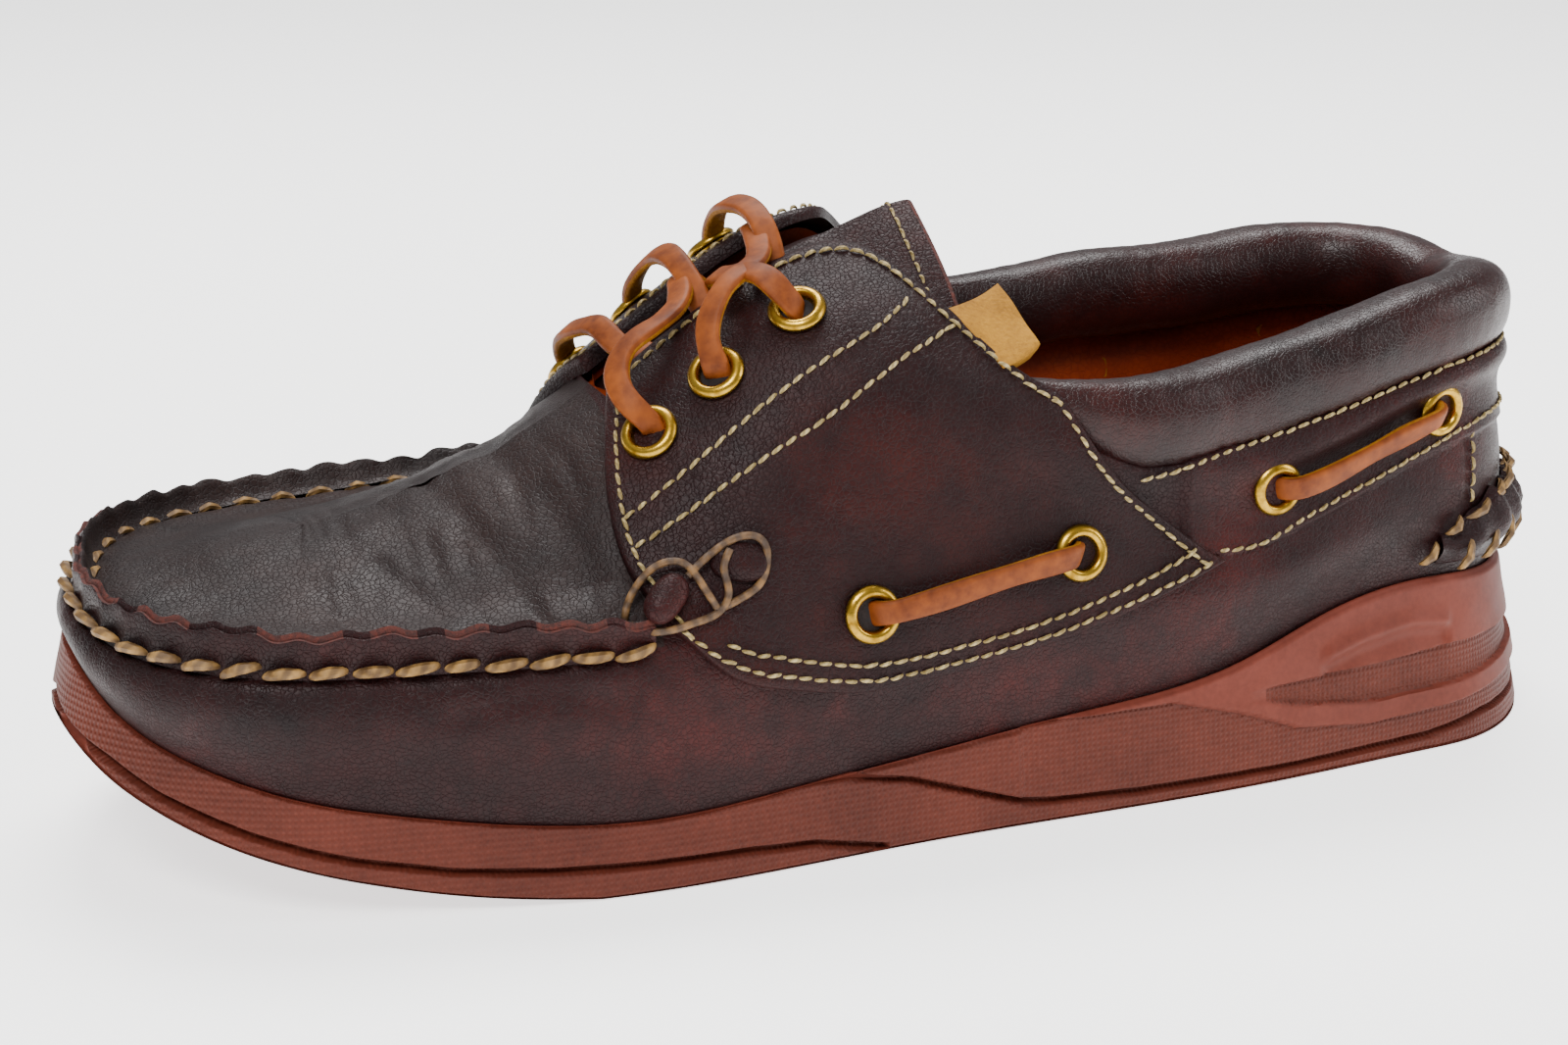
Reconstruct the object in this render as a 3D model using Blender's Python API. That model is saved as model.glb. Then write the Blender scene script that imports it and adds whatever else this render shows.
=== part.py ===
"""A left boat shoe in a men's size, standing on its sole.

The toe points to -X and the heel to +X.  The outer side of the foot (lateral)
is at -Y and the inner side (medial) at +Y.  The origin is on the floor, in the
middle of the sole's outline.  All lengths are in metres.

The shoe is described by stations.  A station is a vertical half plane that
starts at the spine of the last: stations fan round the heel, run square to the
spine along the foot and fan again round the toe.  A point is then a station, a
side, a radius from the spine and a height.  Every piece reads its place from
the same last surface, so the pieces follow when a driving size changes.
"""
import math
from collections import namedtuple

import bmesh
import bpy
import numpy as np
from mathutils import Matrix, Vector

# Driving sizes of the last
LENGTH = 0.300              # outline, heel to toe
BALL_WIDTH = 0.101          # sole at the ball of the foot
HEEL_TURN = 0.040           # radius of the heel's fan of stations
TOE_TURN = 0.046            # radius of the toe's fan of stations
TURN_BLEND = 0.024          # length over which a fan eases into the straight
INSTEP_HEIGHT = 0.100       # floor to the throat's top edge
TOE_SPRING = 0.028          # rise of the sole's bottom at the tip
HEEL_BEVEL = 0.0025         # rise of the sole's bottom at the heel's back
HEEL_BEVEL_RUN = 0.016

# Sole
SOLE_EDGE = 0.036           # height of the rubber's top edge at the heel
SOLE_LEAN = 0.0072          # how far that edge leans in at the heel
HEEL_RISE = 0.0195          # foot bed above the floor at the heel
BALL_RISE = 0.0070          # and at the ball
RISE_START = 0.24           # shares of the length between which the bed drops
RISE_END = 0.68
OUTSOLE_THICK = 0.0042
TREAD_INSET = 0.0006        # tread layer inside the sole's widest line
CUP_WALL = 0.0030           # rubber wall at the foot bed
CUP_LIP = 0.0016            # rubber wall at its top edge
GROOVE_DEPTH = 0.0020       # line moulded between tread layer and side wall
PANEL_STEP = 0.0010         # ribbed panels lie this much under the smooth rubber
LUG_DEPTH = 0.0018
LUG_GAP = 0.0026
LUG_PITCH = 0.0175
LUG_RIM = 0.0075            # uncut rim round the tread
LUG_START = 0.10            # shares of the length that carry lugs
LUG_END = 0.80
SHANK_START = 0.38
SHANK_END = 0.52

# Leather
GAP = 0.0003                # clearance between touching pieces
WALL = 0.0020               # upper
PANEL_THICK = 0.0017        # eyestay and quarter panel
PANEL_SEAT = 0.0010         # panel over the upper, whose faces are flat between rows
TONGUE_SEAT = 0.0016        # tongue under the upper
FOOT_STEP = 0.0008          # straight foot of the upper above its margin
INSOLE_PLAY = 0.0020        # foot bed inside the upper
MARGIN = 0.010              # upper's edge turned in under the insole
RIDGE_HIGH = 0.0046         # standing edge of the moccasin seam
RIDGE_WIDE = 0.0036
RIDGE_LEAN = 0.0018
BAND_STEP = 0.0007          # strap round the heel stands off the quarter
INSOLE_THICK = 0.0030
TONGUE_THICK = 0.0030
TONGUE_LIFT = 0.0062        # how far the tongue's free end stands up
ROLL_RADIUS = 0.0075        # padded collar
ROLL_IN = 0.0050
ROLL_UP = 0.0059
KICKER_THICK = 0.0016
KICKER_HIGH = 0.0046
TAB_THICK = 0.0013
TAB_LIFT = 0.0022

# Metal and lace
EYELET_HOLE = 0.0030        # radius of the hole
EYELET_BARREL = 0.0036
EYELET_TURN = 0.22          # radians that its facets are turned
EYELET_FLANGE = 0.0053
EYELET_DOME = 0.0006
EYELET_RISE = 0.0013        # crown of the flange
EYELET_SEAT = 0.0005        # flat flange over the curved leather
EYELET_SEAT_BAND = 0.0014   # the same on the strap, which turns tighter
LACE_WIDE = 0.0045
LACE_THICK = 0.0020

# Mesh fineness
STATIONS_BACK = 17
STATIONS_FRONT = 11
ROUND_SIDES = 8
ROLL_SIDES = 9
DUST = 0.0001               # slivers thinner than this are collapsed
INSIDE_SKIPS = (2, 6, 7, 8)  # rows of the wall that its inside does without

LATERAL = -1
MEDIAL = 1
SIDES = ((LATERAL, "lateral"), (MEDIAL, "medial"))

# Sole outline.  "along" is a share of the way round the half outline from the
# heel's back to the toe's tip, widths are shares of BALL_WIDTH, lean is a share
# of SOLE_LEAN and edge heights are shares of SOLE_EDGE.
Sole = namedtuple("Sole", "along lateral medial lean edge_lateral edge_medial")
SOLE = [
    Sole(0.000, 0.376, 0.376, 1.00, 0.890, 0.890),
    Sole(0.070, 0.376, 0.376, 0.97, 0.900, 0.900),
    Sole(0.140, 0.391, 0.381, 0.80, 0.930, 0.930),
    Sole(0.200, 0.410, 0.377, 0.64, 0.955, 0.955),
    Sole(0.265, 0.435, 0.363, 0.49, 0.855, 0.855),
    Sole(0.315, 0.449, 0.354, 0.39, 0.690, 0.690),
    Sole(0.415, 0.459, 0.351, 0.35, 0.545, 0.545),
    Sole(0.500, 0.470, 0.381, 0.35, 0.455, 0.455),
    Sole(0.573, 0.495, 0.426, 0.35, 0.395, 0.395),
    Sole(0.645, 0.517, 0.465, 0.35, 0.345, 0.345),
    Sole(0.716, 0.515, 0.483, 0.35, 0.390, 0.390),
    Sole(0.788, 0.487, 0.480, 0.36, 0.505, 0.505),
    Sole(0.860, 0.458, 0.468, 0.38, 0.667, 0.710),
    Sole(0.930, 0.459, 0.463, 0.40, 0.875, 1.030),
    Sole(1.000, 0.465, 0.465, 0.42, 1.110, 1.110),
]

# Rings of the last above the rubber, at the same stations as SOLE.  "out" is a
# share of BALL_WIDTH from the spine and "up" a share of INSTEP_HEIGHT.
Ring = namedtuple("Ring", "bulge_out bulge_up seam_out seam_up flank_out flank_up "
                          "edge_out edge_up top_up")
LAST_LATERAL = [
    Ring(0.285, 0.460, 0.273, 0.580, 0.253, 0.700, 0.225, 0.775, 0.860),
    Ring(0.292, 0.460, 0.283, 0.590, 0.265, 0.710, 0.243, 0.788, 0.870),
    Ring(0.332, 0.460, 0.322, 0.600, 0.307, 0.720, 0.292, 0.790, 0.880),
    Ring(0.371, 0.460, 0.361, 0.570, 0.347, 0.695, 0.330, 0.765, 0.880),
    Ring(0.411, 0.420, 0.401, 0.500, 0.381, 0.620, 0.350, 0.720, 0.890),
    Ring(0.431, 0.370, 0.421, 0.460, 0.394, 0.580, 0.354, 0.700, 0.930),
    Ring(0.441, 0.330, 0.431, 0.450, 0.401, 0.620, 0.342, 0.785, 1.030),
    Ring(0.450, 0.300, 0.446, 0.440, 0.391, 0.700, 0.287, 0.910, 1.040),
    Ring(0.470, 0.280, 0.455, 0.435, 0.391, 0.660, 0.243, 0.877, 0.960),
    Ring(0.490, 0.270, 0.463, 0.435, 0.366, 0.560, 0.198, 0.725, 0.775),
    Ring(0.495, 0.280, 0.458, 0.435, 0.342, 0.503, 0.178, 0.600, 0.645),
    Ring(0.473, 0.300, 0.438, 0.437, 0.302, 0.488, 0.149, 0.547, 0.567),
    Ring(0.448, 0.340, 0.414, 0.442, 0.272, 0.492, 0.129, 0.543, 0.560),
    Ring(0.439, 0.380, 0.402, 0.453, 0.252, 0.505, 0.129, 0.546, 0.560),
    Ring(0.429, 0.435, 0.398, 0.480, 0.248, 0.520, 0.129, 0.550, 0.560),
]
LAST_MEDIAL = [
    Ring(0.285, 0.460, 0.273, 0.580, 0.253, 0.700, 0.225, 0.775, 0.860),
    Ring(0.292, 0.460, 0.283, 0.590, 0.265, 0.710, 0.243, 0.788, 0.870),
    Ring(0.327, 0.460, 0.317, 0.600, 0.305, 0.720, 0.287, 0.785, 0.880),
    Ring(0.347, 0.460, 0.342, 0.580, 0.332, 0.705, 0.317, 0.775, 0.890),
    Ring(0.350, 0.430, 0.342, 0.540, 0.332, 0.670, 0.320, 0.760, 0.910),
    Ring(0.347, 0.390, 0.342, 0.510, 0.332, 0.650, 0.317, 0.770, 0.950),
    Ring(0.350, 0.360, 0.347, 0.510, 0.337, 0.670, 0.307, 0.840, 1.060),
    Ring(0.381, 0.330, 0.376, 0.510, 0.356, 0.720, 0.267, 0.965, 1.110),
    Ring(0.421, 0.310, 0.401, 0.510, 0.356, 0.680, 0.228, 0.895, 0.975),
    Ring(0.453, 0.300, 0.421, 0.500, 0.347, 0.575, 0.193, 0.725, 0.775),
    Ring(0.463, 0.300, 0.426, 0.487, 0.322, 0.520, 0.173, 0.605, 0.645),
    Ring(0.455, 0.315, 0.422, 0.473, 0.292, 0.510, 0.149, 0.550, 0.567),
    Ring(0.446, 0.360, 0.409, 0.480, 0.267, 0.513, 0.129, 0.547, 0.560),
    Ring(0.439, 0.420, 0.402, 0.492, 0.252, 0.520, 0.129, 0.550, 0.560),
    Ring(0.429, 0.435, 0.398, 0.480, 0.248, 0.520, 0.129, 0.550, 0.560),
]
# "level" runs up a station: foot bed, rubber edge, bulge, seam, flank, edge, top
LEVELS = (0.00, 0.10, 0.25, 0.42, 0.62, 0.82, 1.00)
RIM_LEVEL = LEVELS[1]
SEAM_LEVEL = LEVELS[3]

# Side curve of the spine: share of the length, share of BALL_WIDTH
Bend = namedtuple("Bend", "along aside")
SPINE = [Bend(0.0, 0.0), Bend(0.2, 0.0), Bend(0.4, -0.005), Bend(0.583, 0.0),
         Bend(0.717, 0.015), Bend(0.847, 0.040), Bend(1.0, 0.040)]

# Rise of the sole's bottom to the tip: share of the length, share of TOE_SPRING
Lift = namedtuple("Lift", "along up")
SPRING = [Lift(0.717, 0.0), Lift(0.743, 0.03), Lift(0.80, 0.114), Lift(0.84, 0.207),
          Lift(0.88, 0.325), Lift(0.92, 0.464), Lift(0.96, 0.66), Lift(0.983, 0.82),
          Lift(1.0, 1.0)]

# Upper edge of the upper's wall, round the collar and up to the throat
Edge = namedtuple("Edge", "along level")
TOP_EDGE = [Edge(0.0, 0.808), Edge(0.15, 0.808), Edge(0.33, 0.805), Edge(0.40, 0.790),
            Edge(0.44, 0.780), Edge(0.47, 0.808), Edge(0.49, 0.862), Edge(0.515, 0.912),
            Edge(0.54, 0.925), Edge(0.573, 0.920), Edge(0.64, 0.905), Edge(1.0, 0.905)]
THROAT_FRONT = 0.640        # along, where the throat closes
RIDGE_START = 0.655         # along, where the moccasin seam stands up

# Eyestay and quarter panel, from its front edge to its rear edge
Stay = namedtuple("Stay", "foot_along foot_level head_along head_level")
STAY = [
    Stay(0.640, 0.455, 0.636, 0.930),
    Stay(0.613, 0.350, 0.605, 0.942),
    Stay(0.582, 0.311, 0.573, 0.947),
    Stay(0.539, 0.277, 0.539, 0.953),
    Stay(0.493, 0.277, 0.510, 0.948),
    Stay(0.447, 0.285, 0.490, 0.900),
    Stay(0.407, 0.312, 0.470, 0.850),
    Stay(0.367, 0.365, 0.447, 0.812),
    Stay(0.332, 0.430, 0.427, 0.800),
]
STAY_BOW = 0.018            # forward bow of its front edge, as a share

# Sole side: border of the smooth heel, and the sunk wedge below it.  Heights
# are shares of SOLE_EDGE.
Side = namedtuple("Side", "along border wedge_low wedge_high")
SOLE_SIDE = [Side(0.0, 0.32, 0.44, 0.56), Side(0.10, 0.31, 0.42, 0.57),
             Side(0.17, 0.25, 0.36, 0.58), Side(0.23, 0.23, 0.35, 0.55),
             Side(0.28, 0.29, 0.42, 0.54), Side(0.315, 0.42, 0.50, 0.53),
             Side(0.36, 0.45, 0.47, 0.49), Side(0.42, 0.42, 0.44, 0.46),
             Side(0.50, 0.34, 0.36, 0.38), Side(1.0, 0.34, 0.36, 0.38)]
SMOOTH_END = 0.45           # along, where the smooth heel runs out
WEDGE_END = 0.31

# Strap round the heel: levels of its lower and upper stitch rows
BAND_LOW = 0.45
BAND_END = 0.33

# Eyelets: along, level, and whether a panel lies under the flange
Eyelet = namedtuple("Eyelet", "name along level on_panel")
EYELETS = [
    Eyelet("throat_1", 0.628, 0.784, True),
    Eyelet("throat_2", 0.593, 0.809, True),
    Eyelet("throat_3", 0.550, 0.848, True),
    Eyelet("side_1", 0.538, 0.434, True),
    Eyelet("side_2", 0.420, 0.490, True),
    Eyelet("side_3", 0.298, 0.600, False),
    Eyelet("side_4", 0.188, 0.573, False),
]

# Heel flap: from the heel's back round to its end
Flap = namedtuple("Flap", "along low crest high")
KICKER = [Flap(0.0, 0.118, 0.200, 0.290), Flap(0.06, 0.118, 0.200, 0.295),
          Flap(0.12, 0.120, 0.200, 0.295), Flap(0.16, 0.122, 0.190, 0.262),
          Flap(0.185, 0.124, 0.160, 0.205)]

SPAN = HEEL_TURN * math.pi / 2 + (LENGTH - HEEL_TURN - TOE_TURN) + TOE_TURN * math.pi / 2


def spline_weights(knots, where, closed=False):
    """Weights that turn values at the knots into a smooth curve's values."""
    knots = np.asarray(knots, float)
    where = np.asarray(where, float)
    step = np.diff(knots)
    count = len(step) if closed else len(knots)
    bend = np.zeros((count, count))
    pull = np.zeros((count, count))
    for i in range(count):
        if not closed and i in (0, count - 1):
            bend[i, i] = 1.0
            continue
        before = step[(i - 1) % len(step)]
        after = step[i % len(step)]
        bend[i, (i - 1) % count] += before
        bend[i, i] += 2 * (before + after)
        bend[i, (i + 1) % count] += after
        pull[i, (i - 1) % count] += 6 / before
        pull[i, i] -= 6 / before + 6 / after
        pull[i, (i + 1) % count] += 6 / after
    second = np.linalg.solve(bend, pull)
    if closed:
        where = knots[0] + np.mod(where - knots[0], knots[-1] - knots[0])
    where = np.clip(where, knots[0], knots[-1])
    k = np.clip(np.searchsorted(knots, where, side="right") - 1, 0, len(step) - 1)
    right = (where - knots[k]) / step[k]
    left = 1 - right
    unit = np.eye(count)
    after = (k + 1) % count
    cube_left = (left ** 3 - left) * step[k] ** 2 / 6
    cube_right = (right ** 3 - right) * step[k] ** 2 / 6
    return (left[..., None] * unit[k] + right[..., None] * unit[after]
            + cube_left[..., None] * second[k] + cube_right[..., None] * second[after])


def curve(rows, where):
    """Smooth curve through (place, value) rows."""
    table = np.array([row[:2] for row in rows], float)
    return spline_weights(table[:, 0], where) @ table[:, 1]


def straight(rows, where, column=1):
    """Straight runs through a column of the rows."""
    table = np.array(rows, float)
    return np.interp(where, table[:, 0], table[:, column])


def round_outline(along, side, lateral, medial):
    """Values on the closed outline: out on one side of the foot, back on the other."""
    knots = [row.along for row in SOLE]
    knots = np.array(knots + [2 - value for value in knots[-2::-1]])
    table = np.concatenate([np.asarray(lateral, float), np.asarray(medial, float)[-2:0:-1]])
    return spline_weights(knots, np.where(side < 0, along, 2 - along), True) @ table


def frame(along):
    """Distance from the heel's back along the spine, and the station's turn."""
    def ramp(distance, bound):
        low = bound - TURN_BLEND / 2
        t = np.clip((distance - low) / TURN_BLEND, 0, 1)
        eased = low + TURN_BLEND * (t / 2 + np.sin(np.pi * t) / (2 * np.pi))
        return np.where(distance < low, distance, eased)

    walk = np.asarray(along, float) * SPAN
    heel = ramp(walk, HEEL_TURN * np.pi / 2)
    toe = ramp(SPAN - walk, TOE_TURN * np.pi / 2)
    spine = HEEL_TURN + (walk - heel) - (TOE_TURN * np.pi / 2 - toe)
    return spine, heel / HEEL_TURN + (np.pi / 2 - toe / TOE_TURN)


def distance_from_heel(along, radius):
    spine, turn = frame(along)
    return spine - radius * np.cos(turn)


def place_raw(along, side, radius, height):
    spine, turn = frame(along)
    aside = curve(SPINE, spine / LENGTH) * BALL_WIDTH
    return np.stack([-(spine - radius * np.cos(turn)),
                     aside + side * radius * np.sin(turn), height + 0 * spine], -1)


def sole_radius(along, side, lean=0.0):
    """Outer radius of the rubber; lean 0 is its widest line, 1 its top edge."""
    radius = round_outline(along, side, [r.lateral for r in SOLE], [r.medial for r in SOLE])
    inset = round_outline(along, side, [r.lean for r in SOLE], [r.lean for r in SOLE])
    return radius * BALL_WIDTH - inset * SOLE_LEAN * lean


def outline_middle():
    """Middle of the sole's outline, which the origin is moved to."""
    steps = np.linspace(0, 1, 300)
    both = [place_raw(steps, side, sole_radius(steps, side), 0) for side in (LATERAL, MEDIAL)]
    points = np.concatenate(both)
    return (points.min(0) + points.max(0)) / 2


MIDDLE = outline_middle()


def place(along, side, radius, height):
    """Point of a station, in the shoe's frame."""
    return place_raw(along, side, radius, height) - MIDDLE * (1, 1, 0)


def sole_edge(along, side):
    return SOLE_EDGE * round_outline(along, side, [r.edge_lateral for r in SOLE],
                                     [r.edge_medial for r in SOLE])


def spring(distance):
    """Height of the sole's bottom at a distance from the heel's back."""
    share = np.asarray(distance, float) / LENGTH
    toe = np.where(share > SPRING[0].along, curve(SPRING, share), 0) * TOE_SPRING
    heel = HEEL_BEVEL * np.clip(1 - share * LENGTH / HEEL_BEVEL_RUN, 0, 1) ** 2
    return toe + heel


def bed(distance):
    """Height of the cup's floor, on which the foot bed lies."""
    t = np.clip((distance / LENGTH - RISE_START) / (RISE_END - RISE_START), 0, 1)
    drop = t * t * (3 - 2 * t)
    return spring(distance) + HEEL_RISE + (BALL_RISE - HEEL_RISE) * drop


def foot_radius(along, side):
    """Outside of the upper where it stands on the cup's floor."""
    return sole_radius(along, side, 0.6) - CUP_WALL - GAP


def rings(along, side):
    """Radii and heights of the last's rings at each station."""
    foot = foot_radius(along, side)
    foot_up = bed(distance_from_heel(along, foot)) + GAP + WALL + FOOT_STEP
    rim = sole_radius(along, side, 1.0) - CUP_LIP - GAP
    lateral = np.array([list(r) for r in LAST_LATERAL])
    medial = np.array([list(r) for r in LAST_MEDIAL])
    shared_top = (lateral[:, -1] + medial[:, -1]) / 2
    lateral[:, -1] = shared_top
    medial[:, -1] = shared_top
    value = round_outline(along, side, lateral, medial)
    out = [foot, rim] + [value[..., i] * BALL_WIDTH for i in (0, 2, 4, 6)] + [0 * foot]
    up = [foot_up, sole_edge(along, side)]
    up += [value[..., i] * INSTEP_HEIGHT for i in (1, 3, 5, 7, 8)]
    return np.stack(out, -1), np.stack(up, -1)


def last_surface(along, side, level):
    """Outside of the upper, as one smooth surface."""
    along, side, level = np.broadcast_arrays(np.asarray(along, float), side,
                                             np.asarray(level, float))
    out, up = rings(along, side)
    weight = spline_weights(LEVELS, level)
    return place(along, side, (weight * out).sum(-1), (weight * up).sum(-1))


def last_normal(along, side, level):
    """Direction out of the last surface."""
    along, side, level = np.broadcast_arrays(np.asarray(along, float), side,
                                             np.asarray(level, float))
    ahead = 0.0025
    rise = 0.004
    clear = np.minimum(level, 0.93)
    near = along - ahead
    far = along + ahead
    forward = (last_surface(np.where(far > 1, 2 - far, far), np.where(far > 1, -side, side), clear)
               - last_surface(np.abs(near), np.where(near < 0, -side, side), clear))
    upward = (last_surface(along, side, np.clip(level + rise, 0, 1))
              - last_surface(along, side, np.clip(level - rise, 0, 1)))
    out = np.cross(forward, upward) * np.asarray(side)[..., None]
    return out / np.linalg.norm(out, axis=-1, keepdims=True)


def on_last(along, side, level, height):
    """Point that stands off the last surface by a height."""
    return (last_surface(along, side, level)
            + last_normal(along, side, level) * np.asarray(height)[..., None])


def station_list():
    back = np.linspace(0, THROAT_FRONT, STATIONS_BACK + 1)
    front = np.linspace(THROAT_FRONT, 1, STATIONS_FRONT + 1)
    return np.concatenate([back, front[1:]])


ALONG = station_list()


class Body:
    """Collects points and faces; points at one place are one vertex."""

    def __init__(self):
        self.points = []
        self.index = {}
        self.faces = []

    def point(self, position):
        key = tuple(int(round(value * 1e7)) for value in position)
        if key not in self.index:
            self.index[key] = len(self.points)
            self.points.append(tuple(float(value) for value in position))
        return self.index[key]

    def face(self, *positions):
        corners = []
        for position in positions:
            number = self.point(position)
            if number not in corners:
                corners.append(number)
        if len(corners) > 2:
            self.faces.append(corners)

    def grid(self, points, flip=False):
        for row in range(len(points) - 1):
            for column in range(len(points[0]) - 1):
                quad = [points[row][column], points[row][column + 1],
                        points[row + 1][column + 1], points[row + 1][column]]
                self.face(*(quad[::-1] if flip else quad))


def material(name, colour, roughness, metallic=0.0):
    surface = bpy.data.materials.get(name) or bpy.data.materials.new(name)
    surface.use_nodes = True
    shader = surface.node_tree.nodes["Principled BSDF"]
    shader.inputs["Base Color"].default_value = (*colour, 1)
    shader.inputs["Roughness"].default_value = roughness
    shader.inputs["Metallic"].default_value = metallic
    return surface


def colours():
    """The shoe's finishes, as linear colour, roughness and metallic."""
    return {
        "leather": material("dark_leather", (0.030, 0.011, 0.010), 0.42),
        "lining": material("tan_lining", (0.370, 0.054, 0.006), 0.60),
        "tab": material("undyed_leather", (0.580, 0.370, 0.110), 0.65),
        "rubber": material("terracotta_rubber", (0.330, 0.085, 0.060), 0.60),
        "brass": material("brass", (0.560, 0.370, 0.100), 0.30, 1.0),
        "lace": material("rawhide", (0.460, 0.130, 0.045), 0.60),
        "thread": material("waxed_thread", (0.400, 0.240, 0.085), 0.70),
    }


def make_object(name, body, finish, smooth_angle=38):
    """Turn a body into an object, triangulated, with its faces pointing out."""
    mesh = bpy.data.meshes.new(name)
    mesh.from_pydata(body.points, [], body.faces)
    work = bmesh.new()
    work.from_mesh(mesh)
    bmesh.ops.recalc_face_normals(work, faces=work.faces)
    bmesh.ops.triangulate(work, faces=work.faces)
    if work.calc_volume(signed=True) < 0:
        bmesh.ops.reverse_faces(work, faces=work.faces)
    work.to_mesh(mesh)
    work.free()
    mesh.shade_smooth()
    mesh.set_sharp_from_angle(angle=math.radians(smooth_angle))
    mesh.materials.append(finish)
    shape = bpy.data.objects.new(name, mesh)
    bpy.context.collection.objects.link(shape)
    return shape


def as_cutter(shape):
    shape.hide_render = True
    shape.display_type = "WIRE"
    return shape


def cut(shape, cutter, operation="DIFFERENCE"):
    modifier = shape.modifiers.new(operation.lower(), "BOOLEAN")
    modifier.operation = operation
    modifier.object = cutter
    modifier.solver = "EXACT"


def clean(shape):
    """Apply the cuts and collapse the slivers that they leave."""
    bpy.context.view_layer.update()
    seen = shape.evaluated_get(bpy.context.evaluated_depsgraph_get())
    mesh = bpy.data.meshes.new_from_object(seen)
    work = bmesh.new()
    work.from_mesh(mesh)
    bmesh.ops.remove_doubles(work, verts=work.verts, dist=DUST)
    for _ in range(3):
        bmesh.ops.dissolve_degenerate(work, dist=DUST, edges=work.edges)
        bmesh.ops.triangulate(work, faces=work.faces)
    work.to_mesh(mesh)
    work.free()
    shape.modifiers.clear()
    shape.data = mesh


def both_sides(function):
    """Rows of points round the whole outline, closed at the heel and the toe."""
    lateral = [function(along, LATERAL) for along in ALONG]
    medial = [function(along, MEDIAL) for along in ALONG]
    return lateral + medial[-2::-1]


def plate_rows(radii_at, height_at):
    """Rows from the spine out through some radii, for a floor or a bottom."""
    def row(along, side):
        radius = np.array(radii_at(along, side))
        height = height_at(distance_from_heel(along, radius))
        return place(along, side, radius, height)
    return both_sides(row)


def tread_radii(along, side, inset):
    """Rows of the tread layer, shared by the cup that lies on it."""
    whole = sole_radius(along, side)
    return [0.0, 0.6 * whole, 0.85 * whole, whole - inset]


def outsole(finish):
    """Tread layer, with cross lugs and a hollow under the shank."""
    body = Body()

    def top(distance):
        return spring(distance) + OUTSOLE_THICK

    def foot_radii(along, side):
        return tread_radii(along, side, 3 * TREAD_INSET)

    def top_radii(along, side):
        return tread_radii(along, side, TREAD_INSET)

    body.grid(plate_rows(foot_radii, spring))
    body.grid(plate_rows(top_radii, top))

    def wall(along, side):
        bottom = foot_radii(along, side)[-1]
        middle = top_radii(along, side)[-1]
        points = [place(along, side, bottom, spring(distance_from_heel(along, bottom)))]
        up = spring(distance_from_heel(along, middle))
        points.append(place(along, side, middle, up + OUTSOLE_THICK * 0.35))
        points.append(place(along, side, middle, up + OUTSOLE_THICK))
        return points

    body.grid(both_sides(wall))
    shape = make_object("outsole", body, finish["rubber"])
    cut(shape, lug_cutter(finish))
    return shape


def lug_cutter(finish):
    """Cross grooves between the lugs, inside an uncut rim."""
    body = Body()
    start = LUG_START * LENGTH
    count = int((LUG_END - LUG_START) * LENGTH / LUG_PITCH)
    for number in range(count + 1):
        distance = start + number * LUG_PITCH
        if SHANK_START < distance / LENGTH < SHANK_END:
            continue
        add_groove(body, distance, LUG_GAP)
    middle = (SHANK_START + SHANK_END) / 2 * LENGTH
    add_groove(body, middle, (SHANK_END - SHANK_START) * LENGTH)
    return as_cutter(make_object("lug_cutter", body, finish["rubber"]))


def along_at(distance):
    """Station of the straight stretch that stands at a distance from the heel."""
    return (distance - HEEL_TURN + HEEL_TURN * math.pi / 2) / SPAN


def add_groove(body, distance, width):
    ends = []
    for side in (LATERAL, MEDIAL):
        for shift in (-width / 2, width / 2):
            along = along_at(distance + shift)
            if distance + shift < HEEL_TURN:
                across = sole_radius(0.5 * along + 0.09, side) * 0.80 - LUG_RIM
            else:
                across = sole_radius(along, side) - LUG_RIM
            spine = curve(SPINE, (distance + shift) / LENGTH) * BALL_WIDTH
            ends.append((-(distance + shift) - MIDDLE[0], spine + side * across - MIDDLE[1]))
    for side in (0, 2):
        if side == 2:
            ends[2], ends[3] = ends[3], ends[2]
    floor = float(spring(distance))
    low = [(x, y, floor - 4 * LUG_DEPTH) for x, y in ends]
    high = [(x, y, floor + LUG_DEPTH) for x, y in ends]
    body.face(*low)
    body.face(*high)
    for i in range(4):
        body.face(low[i], low[(i + 1) % 4], high[(i + 1) % 4], high[i])


def side_relief(along, level):
    """How far the smooth rubber stands out; level 0 is the border, 1 the wedge."""
    fade = np.clip((SMOOTH_END - along) / 0.10, 0, 1)
    if level == 1:
        return PANEL_STEP * (fade - np.clip((WEDGE_END - along) / 0.03, 0, 1))
    return PANEL_STEP * fade


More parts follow.
